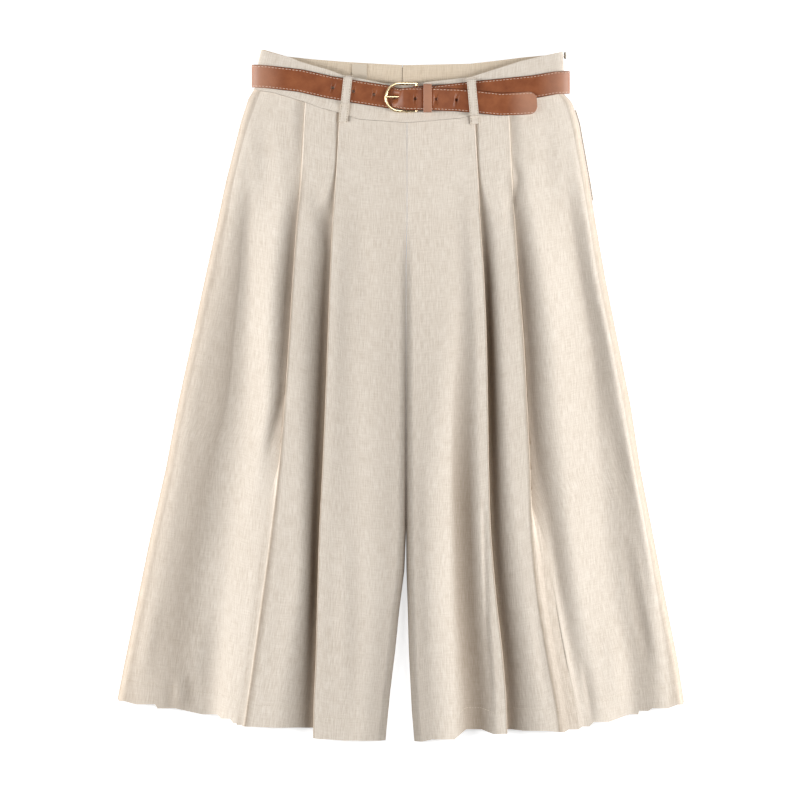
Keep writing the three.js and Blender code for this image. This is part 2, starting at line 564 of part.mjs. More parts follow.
function strapSolid() {
  const line = beltLine();
  const start = line.slice(0, 2);
  const run = start[1].clone().sub(start[0]);
  const tip = TIP_TAPER.slice(0, 3).map(([back]) => {
    return start[0].clone().addScaledVector(run, back / run.length());
  });
  const stops = [...tip, ...line.slice(1)].map((centre) => {
    const back = centre.distanceTo(start[0]);
    const overBuckle = centre.z > BAND_TOP && Math.abs(centre.y - BUCKLE.y) < BELT.width;
    const crown = overBuckle ? along(CROWN, centre.x) : 0;
    return { centre, half: along(TIP_TAPER, back) - CROWN_DRAW * crown, crown, level: overBuckle };
  });
  return toManifold(crownedStrap(stops, BELT.thick, new THREE.Vector3(0, 1, 0)));
}

// The prong is bent round the bar and lies on the buckle's rim.
const PRONG = { wide: 1.1, y: BUCKLE.y + 0.4, rimZ: BUCKLE.z + BUCKLE.rod + GAP + 1.1, eye: 2.75 };

// The folded end of the strap is slotted, so that the prong's eye can turn on the bar.
const PRONG_SLOT = { long: 11, wide: 2 * PRONG.wide + 1, tall: 2 * PRONG.eye + 5.4, z: BUCKLE.z - 0.65 };

function prongSolid(grow) {
  const stops = [point(BUCKLE.leftX - 1.6, PRONG.y, PRONG.rimZ - 0.5),
    point(BUCKLE.leftX + 1, PRONG.y, PRONG.rimZ),
    point(BUCKLE.barX - PRONG.eye, PRONG.y, BUCKLE.z + 1.3)];
  const shank = toManifold(rod(stops, (k) => (k === 0 ? 0.6 * PRONG.wide : PRONG.wide) + grow, 8));
  const inner = BUCKLE.rod + GAP - grow;
  const outer = PRONG.eye + PRONG.wide + grow;
  const half = PRONG.wide + grow;
  const outline = [[inner, -half], [outer, -half], [outer, half], [inner, half], [inner, -half]];
  const ring = new THREE.LatheGeometry(outline.map(([r, h]) => new THREE.Vector2(r, h)), 20);
  ring.translate(BUCKLE.barX, PRONG.y, BAR_Z);
  return shank.add(toManifold(ring));
}

// Punched holes, one belt pitch apart either side of the one that the prong goes through.
function holeCutters() {
  return [-3, -2, -1, 0, 1, 2, 3].map((step) => {
    const x = PRONG_HOLE_X + step * BELT.pitch;
    const cutter = new THREE.CylinderGeometry(BELT.hole, BELT.hole, BELT.thick + 0.4, 12);
    cutter.rotateX(Math.PI / 2);
    const ahead = along(TIP_RUN_Z, x + 0.5) - along(TIP_RUN_Z, x - 0.5);
    cutter.rotateY(-Math.atan(ahead));
    cutter.translate(x, along(TIP_RUN_Y, x), BAND_TOP + along(TIP_RUN_Z, x));
    return toManifold(cutter);
  });
}

// The buckle is a horseshoe of round rod, thinner where its arms end at the bar.
function bucklePath(radius) {
  const centreX = BUCKLE.leftX + BUCKLE.halfHeight;
  const straightX = 7;
  const path = [];
  path.push(point(BUCKLE.barX, BUCKLE.y + BUCKLE.halfHeight, BUCKLE.z));
  path.push(point(straightX, BUCKLE.y + BUCKLE.halfHeight, BUCKLE.z));
  for (let s = 0; s <= 16; s += 1) {
    const turn = Math.PI / 2 + (Math.PI * s) / 16;
    path.push(point(centreX + BUCKLE.halfHeight * Math.cos(turn),
      BUCKLE.y + BUCKLE.halfHeight * Math.sin(turn), BUCKLE.z));
  }
  path.push(point(straightX, BUCKLE.y - BUCKLE.halfHeight, BUCKLE.z));
  path.push(point(BUCKLE.barX, BUCKLE.y - BUCKLE.halfHeight, BUCKLE.z));
  const end = path.length - 1;
  return toManifold(rod(path, (k) => (k === 0 || k === end ? 0.8 * radius : radius), 10));
}

function buckleFrame() {
  const reach = BUCKLE.halfHeight + 0.6;
  const bar = toManifold(rod([point(BUCKLE.barX, BUCKLE.y - reach, BAR_Z),
    point(BUCKLE.barX, BUCKLE.y + reach, BAR_Z)], () => BUCKLE.rod, 12));
  const collars = [-1, 1].map((side) => {
    const y = BUCKLE.y + side * BUCKLE.halfHeight;
    const ends = [COLLAR.lowX, COLLAR.highX].map((x) => point(x, y, BUCKLE.z));
    return toManifold(rod(ends, () => BUCKLE.rod + COLLAR.proud, 12));
  });
  return fromManifold(bucklePath(BUCKLE.rod).add(bar).add(collars[0]).add(collars[1]));
}

function beltStrap() {
  let strap = strapSolid();
  for (const cutter of holeCutters()) {
    strap = strap.subtract(cutter);
  }
  const slot = new THREE.BoxGeometry(PRONG_SLOT.long, PRONG_SLOT.wide, PRONG_SLOT.tall);
  slot.translate(BUCKLE.barX, PRONG.y, PRONG_SLOT.z);
  const pressed = bucklePath(BUCKLE.rod + 0.25);
  return fromManifold(strap.subtract(prongSolid(0.4)).subtract(toManifold(slot)).subtract(pressed));
}

piece('belt_strap', beltStrap(), LEATHER);
piece('buckle_prong', fromManifold(prongSolid(0)), GOLD);

piece('buckle_frame', buckleFrame(), GOLD);

// The keeper is a leather ring round the folded end, the strap and the tip.
function keeperRing() {
  const low = BAND_TOP + GAP;
  const high = BAND_TOP + KEEPER.height;
  const outline = new THREE.Shape();
  outline.moveTo(KEEPER.lowY, low);
  outline.lineTo(KEEPER.highY, low);
  outline.lineTo(KEEPER.highY, high);
  outline.lineTo(KEEPER.lowY, high);
  outline.closePath();
  const inside = new THREE.Path();
  inside.moveTo(KEEPER.lowY + KEEPER.wall, low + KEEPER.wall);
  inside.lineTo(KEEPER.lowY + KEEPER.wall, high - KEEPER.wall);
  inside.lineTo(KEEPER.highY - KEEPER.wall, high - KEEPER.wall);
  inside.lineTo(KEEPER.highY - KEEPER.wall, low + KEEPER.wall);
  inside.closePath();
  outline.holes.push(inside);
  const depth = KEEPER.highX - KEEPER.lowX;
  const ring = new THREE.ExtrudeGeometry(outline, { depth, bevelEnabled: false });
  const turned = new THREE.Matrix4().makeBasis(point(0, 1, 0), point(0, 0, 1), point(1, 0, 0));
  ring.applyMatrix4(turned);
  ring.translate(KEEPER.lowX, 0, 0);
  return ring;
}

piece('belt_keeper', keeperRing(), LEATHER);

// ---------------------------------------------------------------- belt loops

// Each loop is a narrow stitched tape: flat on the waistband at both ends, and over the belt
// between them. Its top and bottom are [x, y], its clear span is [y, y], and its lift is the
// height of the tape's middle over the belt.
const FOOT = GAP + LOOP.wall / 2;
const FRONT_LOOPS = [
  { side: 'right', top: [-58.5, 351.4], bottom: [-64.3, 301], span: [350.2, 321.2], lift: 3.4 },
  { side: 'left', top: [76, 349.6], bottom: [80.7, 298.6], span: [347.2, 308.6], lift: 6 },
];
const BACK_LOOPS = [
  { side: 'right', top: [-60, 366.4], bottom: [-60, 326.4], span: [364.2, 335.4] },
  { side: 'left', top: [66, 364.4], bottom: [66, 324.4], span: [362.4, 333] },
];

function loopStrip(loop, footZ, overZ) {
  const [high, low] = loop.span;
  const footEnd = high + 0.08 * Math.sign(overZ - footZ);
  const corners = [[loop.top[1], footZ, 0], [footEnd, footZ, 1], [high - 0.4, overZ, 1],
    [low + 0.4, overZ, 1], [low - 1.2, footZ, 1], [loop.bottom[1], footZ, 0]];
  const stops = roundedLine(corners, 3).map(([y, z]) => {
    const share = (loop.top[1] - y) / (loop.top[1] - loop.bottom[1]);
    return { centre: point(mix(loop.top[0], loop.bottom[0], share), y, z), half: LOOP.width / 2 };
  });
  return strip(stops, LOOP.wall, new THREE.Vector3(1, 0, 0));
}

for (const loop of FRONT_LOOPS) {
  const strap = loopStrip(loop, BAND_TOP + FOOT, BAND_TOP + loop.lift);
  piece(`belt_loop_front_${loop.side}`, strap, CLOTH);
}
for (const loop of BACK_LOOPS) {
  const strap = loopStrip(loop, BACK_BAND_Z - BAND / 2 - FOOT, LOOP.wall / 2);
  piece(`belt_loop_back_${loop.side}`, strap, CLOTH);
}

// ---------------------------------------------------------------- side zip

// An invisible zip closes the wearer's left side seam. Its coil runs in the seam below the belt;
// above that the waistband's turned edge holds it, and its slider is parked at the top.
const ZIP = { low: 215, high: 314, parked: 370, wide: 1.6, tall: 1.8 };
const SLIDER = { long: 7.6, wide: 3.2, tall: 3.2, y: 374 };
const zipZ = (y) => (y > 322 ? (FRONT_EDGE_Z + BACK_EDGE_Z) / 2 : along(SIDE_RISE, y) + (PANEL + GAP) / 2);
const zipX = (y) => along(LEFT_SIDE, y) + GAP + ZIP.wide / 2 + 0.3;

function zipCoil() {
  const stops = [ZIP.high, 300, 275, 250, 232, ZIP.low].map((y) => {
    return { centre: point(zipX(y), y, zipZ(y)), half: ZIP.wide / 2 };
  });
  return strip(stops, ZIP.tall, new THREE.Vector3(1, 0, 0));
}

function zipSlider() {
  const outline = new THREE.Shape();
  outline.moveTo(0, 0);
  outline.lineTo(SLIDER.wide, 1);
  outline.lineTo(SLIDER.wide, SLIDER.long - 1.2);
  outline.lineTo(0, SLIDER.long);
  outline.closePath();
  const body = new THREE.ExtrudeGeometry(outline, { depth: SLIDER.tall, bevelEnabled: false });
  const x = along(LEFT_SIDE, SLIDER.y) + BAND / 2 + GAP;
  body.translate(x, ZIP.parked + GAP, zipZ(SLIDER.y) - SLIDER.tall / 2);
  return body;
}

piece('side_zip', zipCoil(), CLOTH_TAPE);
piece('zip_slider', zipSlider(), STEEL);

export default group;
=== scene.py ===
import math

import bmesh
import bpy
import numpy as np
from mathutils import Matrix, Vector


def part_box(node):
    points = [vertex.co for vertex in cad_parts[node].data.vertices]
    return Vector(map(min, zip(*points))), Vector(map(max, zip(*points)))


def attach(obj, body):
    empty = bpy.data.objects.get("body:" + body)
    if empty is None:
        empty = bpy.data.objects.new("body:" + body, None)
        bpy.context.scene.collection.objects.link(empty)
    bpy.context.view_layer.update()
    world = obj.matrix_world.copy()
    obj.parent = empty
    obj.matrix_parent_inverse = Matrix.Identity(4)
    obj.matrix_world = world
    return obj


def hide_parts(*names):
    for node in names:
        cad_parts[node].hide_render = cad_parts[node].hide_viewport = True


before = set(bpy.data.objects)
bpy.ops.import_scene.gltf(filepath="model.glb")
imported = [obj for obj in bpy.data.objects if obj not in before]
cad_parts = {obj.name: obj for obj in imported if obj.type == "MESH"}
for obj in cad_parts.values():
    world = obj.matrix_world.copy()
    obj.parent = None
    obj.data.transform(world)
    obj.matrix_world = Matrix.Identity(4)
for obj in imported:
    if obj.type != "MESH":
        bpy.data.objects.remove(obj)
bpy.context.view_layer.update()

scene = bpy.context.scene
scene.view_settings.view_transform = "Standard"
MM = 0.001

# ---------------------------------------------------------------- camera, table and lamps
# The garment lies on a white table under a camera that looks straight down through a long lens,
# so it is seen with almost no perspective, with its waist at the top of the view.
FRAME_WIDE = 0.880
CAMERA_UP = 6.0
CAMERA_SHIFT = (-0.0017, -0.0044)
SENSOR = 36.0

camera_data = bpy.data.cameras.new("overhead_camera")
camera_data.sensor_width = SENSOR
camera_data.lens = SENSOR * CAMERA_UP / FRAME_WIDE
camera_data.clip_end = 100
camera = bpy.data.objects.new("overhead_camera", camera_data)
camera.location = (*CAMERA_SHIFT, CAMERA_UP)
scene.collection.objects.link(camera)
scene.camera = camera


def paint(code):
    """An sRGB hex colour as linear RGBA."""
    channels = [int(code[i:i + 2], 16) / 255 for i in (1, 3, 5)]
    return (*[c / 12.92 if c <= 0.04045 else ((c + 0.055) / 1.055) ** 2.4 for c in channels], 1.0)


def finish_named(name):
    """A new material with its output, its tree and a principled shader wired to it."""
    material = bpy.data.materials.new(name)
    material.use_nodes = True
    tree = material.node_tree
    tree.nodes.clear()
    output = tree.nodes.new("ShaderNodeOutputMaterial")
    shader = tree.nodes.new("ShaderNodeBsdfPrincipled")
    tree.links.new(shader.outputs["BSDF"], output.inputs["Surface"])
    return material, tree, shader


def add(tree, kind, settings=(), **inputs):
    """Adds a node. settings are its own properties; an input is a value or another socket."""
    node = tree.nodes.new(kind)
    for key, value in dict(settings).items():
        setattr(node, key, value)
    for key, value in inputs.items():
        socket = node.inputs[int(key[1:])] if key[1:].isdigit() else node.inputs[key.replace("_", " ")]
        if isinstance(value, bpy.types.NodeSocket):
            tree.links.new(value, socket)
        else:
            socket.default_value = value
    return node


def table_paper():
    """Matt white card. To the camera it also glows a little, so it reads as pure white, and it
    keeps the soft shadow that the garment throws on it."""
    material = bpy.data.materials.new("white_card")
    material.use_nodes = True
    tree = material.node_tree
    tree.nodes.clear()
    card = add(tree, "ShaderNodeBsdfDiffuse", Color=paint("#f4f4f4"))
    glow = add(tree, "ShaderNodeEmission", Color=(1, 1, 1, 1), Strength=0.6)
    both = add(tree, "ShaderNodeAddShader", i0=card.outputs[0], i1=glow.outputs[0])
    seen = add(tree, "ShaderNodeLightPath")
    either = add(tree, "ShaderNodeMath", {"operation": "MAXIMUM"}, i0=seen.outputs["Is Camera Ray"],
                 i1=seen.outputs["Is Glossy Ray"])
    pick = add(tree, "ShaderNodeMixShader", Fac=either.outputs[0], i1=card.outputs[0], i2=both.outputs[0])
    output = add(tree, "ShaderNodeOutputMaterial")
    tree.links.new(pick.outputs[0], output.inputs["Surface"])
    return material


TABLE_HALF = 12.0
TABLE_DROP = 0.0004            # a hair below the cloth
table_corners = [(x * TABLE_HALF, y * TABLE_HALF, -TABLE_DROP)
                 for x, y in ((-1, -1), (1, -1), (1, 1), (-1, 1))]
table_mesh = bpy.data.meshes.new("table")
table_mesh.from_pydata(table_corners, [], [(0, 1, 2, 3)])
table_mesh.materials.append(table_paper())
table = bpy.data.objects.new("table", table_mesh)
scene.collection.objects.link(table)

SKY_STRENGTH = 0.17
world = bpy.data.worlds.new("studio")
world.use_nodes = True
world.node_tree.nodes["Background"].inputs["Color"].default_value = (1, 1, 1, 1)
world.node_tree.nodes["Background"].inputs["Strength"].default_value = SKY_STRENGTH
scene.world = world


def softbox(name, place, size, watts):
    """A rectangular lamp in metres and watts, aimed at the middle of the table."""
    data = bpy.data.lights.new(name, "AREA")
    data.shape = "RECTANGLE"
    data.size, data.size_y = size
    data.energy = watts
    lamp = bpy.data.objects.new(name, data)
    lamp.location = place
    lamp.rotation_euler = (-Vector(place)).to_track_quat("-Z", "Y").to_euler()
    scene.collection.objects.link(lamp)
    return lamp


# A low softbox stands at each side. A leg takes most of its light from the one at its own side,
# so each fold that faces outwards is bright; all else takes the same from both.
SIDE_WAY, SIDE_UP = 3.0, 1.3
SIDE_BOX = (0.8, 3.0)
SIDE_WATTS = {"near": {-1: 178, 1: 190}, "far": {-1: 52, 1: 52}, "even": {-1: 118, 1: 118}}
lamps = {(way, use): softbox(f"softbox_{use}_{way}", (way * SIDE_WAY, 0.1, SIDE_UP), SIDE_BOX, watts[way])
         for way in (-1, 1) for use, watts in SIDE_WATTS.items()}
# A broad one above the waist gives the plated metal a bright edge along its top.
metal_lamp = softbox("softbox_metal", (0.2, 1.6, 2.6), (1.6, 1.2), 60)


# ---------------------------------------------------------------- cloth
# Oatmeal linen-look plain weave in cotton and viscose, piece-dyed and soft-pressed. Uneven
# threads give it fine light and dark streaks both ways, and it has no shine but a faint nap.
THREAD = 1.0                   # mm from thread to thread, drawn a little coarser than it is
SLUB_LENGTH = 14               # mm, how long a thick or thin stretch of thread runs
PAINTED_SHADE_TINT = "#8c7558"          # colour of the painted shade on cloth deep in a fold, where it sees only other cloth


def linen(name, light, dark, bump):
    """Plain-woven cloth: matt, with thread streaks of two tones, and painted shade deep in a fold."""
    material, tree, shader = finish_named(name)
    shader.inputs["Roughness"].default_value = 0.86
    shader.inputs["Specular IOR Level"].default_value = 0.25
    shader.inputs["Sheen Weight"].default_value = 0.12
    shader.inputs["Sheen Roughness"].default_value = 0.5
    place = add(tree, "ShaderNodeUVMap", {"uv_map": "cut"})
    size = 1 / MM
    streaks = []
    for across, down in ((1 / THREAD, 1 / SLUB_LENGTH), (1 / SLUB_LENGTH, 1 / THREAD)):
        scaled = add(tree, "ShaderNodeVectorMath", {"operation": "MULTIPLY"}, i0=place.outputs["UV"],
                     i1=(across * size, down * size, 1))
        streaks.append(add(tree, "ShaderNodeTexNoise", {"noise_dimensions": "2D"}, Vector=scaled.outputs[0],
                           Scale=1.0, Detail=3.0, Roughness=0.6))
    warp = add(tree, "ShaderNodeMath", {"operation": "MULTIPLY"}, i0=streaks[0].outputs["Fac"], i1=1.35)
    cross = add(tree, "ShaderNodeMath", {"operation": "MULTIPLY_ADD"}, i0=streaks[1].outputs["Fac"], i1=0.65,
                i2=warp.outputs[0])
    cloudy_place = add(tree, "ShaderNodeVectorMath", {"operation": "MULTIPLY"}, i0=place.outputs["UV"],
                       i1=(size / 60, size / 90, 1))
    clouds = add(tree, "ShaderNodeTexNoise", {"noise_dimensions": "2D"}, Vector=cloudy_place.outputs[0],
                 Scale=1.0, Detail=2.0)
    tone = add(tree, "ShaderNodeMath", {"operation": "MULTIPLY_ADD"}, i0=clouds.outputs["Fac"], i1=0.22,
               i2=cross.outputs[0])
    share = add(tree, "ShaderNodeMapRange", Value=tone.outputs[0], i1=0.8, i2=1.4)
    ramp = add(tree, "ShaderNodeValToRGB", Fac=share.outputs["Result"])
    ramp.color_ramp.elements[0].position = 0.0
    ramp.color_ramp.elements[0].color = paint(dark)
    ramp.color_ramp.elements[1].position = 1.0
    ramp.color_ramp.elements[1].color = paint(light)
    # Painted shade: the colour is multiplied towards the shade tint by the mesh's shade attribute, from 0 to
    # 1.
    shade = add(tree, "ShaderNodeAttribute", {"attribute_name": "painted_shade"})
    deep = add(tree, "ShaderNodeMix", {"data_type": "RGBA", "blend_type": "MULTIPLY"},
               i0=shade.outputs["Fac"], i6=ramp.outputs["Color"], i7=paint(PAINTED_SHADE_TINT))
    tree.links.new(deep.outputs[2], shader.inputs["Base Color"])
    waves = []
    for way in ("X", "Y"):
        turned = add(tree, "ShaderNodeVectorMath", {"operation": "MULTIPLY"}, i0=place.outputs["UV"],
                     i1=(size, size, 1))
        waves.append(add(tree, "ShaderNodeTexWave", {"wave_type": "BANDS", "bands_direction": way},
                         Vector=turned.outputs[0], Scale=math.pi / (10 * THREAD), Distortion=1.2,
                         Detail=1.0))
    weave = add(tree, "ShaderNodeMath", {"operation": "MULTIPLY"}, i0=waves[0].outputs["Fac"],
                i1=waves[1].outputs["Fac"])
    height = add(tree, "ShaderNodeMath", {"operation": "MULTIPLY_ADD"}, i0=cross.outputs[0], i1=1.4,
                 i2=weave.outputs[0])
    relief = add(tree, "ShaderNodeBump", Strength=bump, Distance=0.25 * MM, Height=height.outputs[0])
    tree.links.new(relief.outputs["Normal"], shader.inputs["Normal"])
    return material


linen_cloth = linen("linen_look_weave", "#f0e6d9", "#dbcebe", 0.3)
linen_inside = linen("linen_look_weave_inside", "#efdfc9", "#dccab1", 0.3)


def along(rows, place):
    """Straight-line reading of a curve given as (place, value) rows in rising order."""
    return np.interp(place, [row[0] for row in rows], [row[1] for row in rows])


def cloth_wall(name, grid, wall, material, shade=None):
    """A closed cloth wall round a grid of middle-surface points, with its cut as UVs in metres.
    shade is the painted shade at each point, from 0 to 1, stored for the colour to read."""
    rows, cols = grid.shape[:2]
    across = np.gradient(grid, axis=1)
    down = np.gradient(grid, axis=0)
    normal = np.cross(across, down)
    normal /= np.linalg.norm(normal, axis=2, keepdims=True) + 1e-12
    flip = normal[..., 2].mean() >= 0
    if not flip:
        normal = -normal
    upper = (grid + normal * wall / 2).reshape(-1, 3)
    lower = (grid - normal * wall / 2).reshape(-1, 3)
    count = rows * cols
    index = np.arange(count).reshape(rows, cols)
    quads = np.stack([index[:-1, :-1], index[:-1, 1:], index[1:, 1:], index[1:, :-1]], axis=-1)
    quads = quads.reshape(-1, 4)
    top = quads if flip else quads[:, ::-1]
    bottom = (quads[:, ::-1] if flip else quads) + count
    ring = np.concatenate([index[0, :-1], index[:-1, -1], index[-1, :0:-1], index[::-1, 0][:-1]])
    after = np.roll(ring, -1)
    rim = np.stack([after, ring, ring + count, after + count], axis=1)
    if not flip:
        rim = rim[:, ::-1]
    faces = np.concatenate([top, bottom, rim])
    mesh = bpy.data.meshes.new(name)
    mesh.from_pydata(np.concatenate([upper, lower]).tolist(), [], faces.tolist())
    step_u = np.linalg.norm(np.diff(grid, axis=1), axis=2)
    step_v = np.linalg.norm(np.diff(grid, axis=0), axis=2)
    u = np.concatenate([np.zeros((rows, 1)), np.cumsum(step_u, axis=1)], axis=1)
    u = u[rows // 2][None, :].repeat(rows, axis=0) * 0.5 + u * 0.5
    v = np.concatenate([np.zeros((1, cols)), np.cumsum(step_v, axis=0)], axis=0)
    cut = np.stack([u, v], axis=-1).reshape(-1, 2)
    cut = np.concatenate([cut, cut])
    corner = np.empty(len(mesh.loops), dtype=np.int32)
    mesh.loops.foreach_get("vertex_index", corner)
    layer = mesh.uv_layers.new(name="cut")
    layer.data.foreach_set("uv", cut[corner].astype(np.float32).ravel())
    mesh.materials.append(material)
    # Painted shade for the colour, on every point of both faces.
    depth = np.zeros(count) if shade is None else shade.reshape(-1)
    layer = mesh.attributes.new("painted_shade", "FLOAT", "POINT")
    layer.data.foreach_set("value", np.concatenate([depth, depth]).astype(np.float32))
    mesh.polygons.foreach_set("use_smooth", [True] * len(mesh.polygons))
    mesh.update()
    mesh.set_sharp_from_angle(angle=math.radians(70))
    obj = bpy.data.objects.new(name, mesh)
    scene.collection.objects.link(obj)
    return obj


# ---------------------------------------------------------------- pleated fronts
# Each front is one cloth cut from hem to waist seam, with two knife pleats that turn towards the
# side seam. They are sewn down for the first 8 cm and hang open below that, and the cloth rolls
# in long soft waves between them. The tables give where the section of the cloth turns at each
# height up the leg, hem first, in millimetres.
PANEL = 0.9                    # wall
LAYER = 1.05                   # one pleat layer to the next
FRONT_SEAM = [(-167, 336.6), (-142.5, 333.3), (-108.4, 323.4), (-87.5, 315.7), (-62.2, 309.1),
              (-46.8, 303.6), (6, 299.9), (64.4, 304.7), (86.4, 310), (113.9, 317.9), (141.4, 325.6),
              (187, 334.4)]
LEVELS = (-385, -345, -290, -220, -150, -80, -10, 60, 130, 190, 236, 300, 340)
SIDE_RISE = [(190, 0.6), (236, 2.4), (300, 5.2), (322, 6.7)]

RIGHT = {
    "out": -1,
    "lip": 9,
    # painted shade laid on these parts of the section, as a share
    "painted_shades": {"flank": 0.2, "crest": 0.2, "fall": 0.34, "side": 0.34},
    "side": [(-385, 322), (-333, 311.9), (-290, 303.4), (-220, 289), (-150, 274.8), (-80, 258.8),
             (-10, 245.6), (60, 230.5), (130, 215.6), (190, 202.4), (236, 192.5), (300, 176.5),
             (327, 167.8), (335, 162.5), (341, 158), (366, 157), (380, 153.5)],
    "inseam": [(-385, 18.4), (-368, 17), (-324, 12.7), (-279, 7.2), (-235, 2.8), (-192, -2.7), (-148, -4.6),
               (147, -4.6), (190, -5.7), (340, -5.7)],
    "across": {
        "swell": (40, 38, 33, 28, 27, 28, 29, 30, 28, 24, 22, 22, 22),
        "dip": (56, 53, 49, 50, 52, 54, 56, 58, 56, 50, 46, 42, 40),
        "pleat1": (96.7, 96.3, 93.9, 92.1, 90, 86.5, 83.5, 80.9, 78.3, 75.4, 72, 68.2, 66),
        "depth1": (22, 24, 26, 26, 26, 26, 26, 26, 26, 26, 26, 26, 26),
        "recess1": (101, 100, 98, 96, 94, 91, 88, 85, 82, 78.5, 73.6, 69.8, 67.6),
        "shoulder": (127, 124, 116, 108, 106, 105, 104.5, 102, 98, 92, 76, 72.2, 70),
        "pleat2": (175.2, 169.4, 161.4, 151.6, 142.2, 134.3, 128.4, 123.5, 119.1, 114.8, 110.2, 106.6,
                   104.5),
        "depth2": (-4, -4, -4, -4, -1, 4, 13, 18, 20, 20, 20, 20, 20),
        "recess2": (187, 181, 173, 164, 155, 145, 133, 127, 122, 117.5, 112, 108.2, 106),
        "ridge": (197, 192, 186, 178, 168, 156, 145, 142, 138, 131, 124, 118, 116),
        "valley": (210, 210, 207, 206, 197, 188, 179, 174.5, 171, 169, 162, 150, 142),
        "flank": (258, 258, 257, 250, 236, 222, 203, 194, 184, 178, 171, 157, 146),
        "crest": (281, 281, 281, 268, 256, 243, 230, 214, 196, 187, 180, 164, 150),
    },
    "height": {
        "inseam": (2.1, 2.1, 2.1, 2.4, 4, 6.5, 8.2, 9.6, 12.2, 14.2, 14.2, 14.2, 14.2),
        "roll": (12, 12, 12, 12.4, 12.6, 12.8, 13, 13, 14, 14.2, 14.2, 14.2, 14.2),
        "swell": (15, 15, 15.2, 15.6, 15.8, 15.8, 15.5, 15, 14.6, 14.3, 14.2, 14.2, 14.2),
        "dip": (15, 15, 15, 15, 15, 15, 14.8, 14.6, 14.3, 14.2, 14.2, 14.2, 14.2),
        "pleat1": (16.6, 16.6, 16.8, 17, 17, 17.2, 17, 16.8, 16.2, 15.4, 14.6, 14.2, 14.2),
        "recess1": (4.6, 4.6, 4.6, 4.6, 4.6, 4.6, 4.6, 5.2, 7, 9.6, 12.2, 12.1, 12.1),
        "shoulder": (16, 16, 15.6, 15.6, 15.6, 15.6, 15.6, 15.6, 15.2, 14.8, 14.3, 14.1, 14.1),
        "pleat2": (16.4, 16.4, 16.4, 16.4, 16.2, 16, 16.2, 16.4, 16, 15.2, 14.4, 14.1, 14.1),
        "recess2": (13.8, 13.8, 13.8, 13.8, 13.4, 12.4, 9.6, 7.6, 7.2, 9.4, 12.2, 12, 12),
        "ridge": (11.4, 11.4, 11.2, 11, 11.2, 12, 13.6, 14, 14.2, 14.2, 14, 14, 14),
        "valley": (4.4, 4.4, 4.4, 4.4, 4, 3.8, 3.8, 4.4, 5.6, 8, 11.4, 13.2, 13.2),
        "flank": (13.4, 13.4, 13.6, 13.6, 12.8, 11.6, 10.2, 9.8, 9.8, 10.4, 11.8, 13, 13),
        "crest": (14.4, 14.4, 14.6, 14.6, 13.8, 12.8, 11.4, 10.6, 10.4, 11, 12, 12.8, 12.4),
        "fall": (7, 7, 7, 7, 6.6, 6.2, 6, 5.8, 5.8, 6.6, 8.6, 11.6, 11.8),
    },
    "hem": (-378.4, -378.4, -378.4, -378.2, -376.5, -375.4, -375.4, -367, -367, -364.5, -364, -362.7,
            -362.7, -361, -361, -359, -354.4, -350, -343, -338.5, -335, -332.8),
}
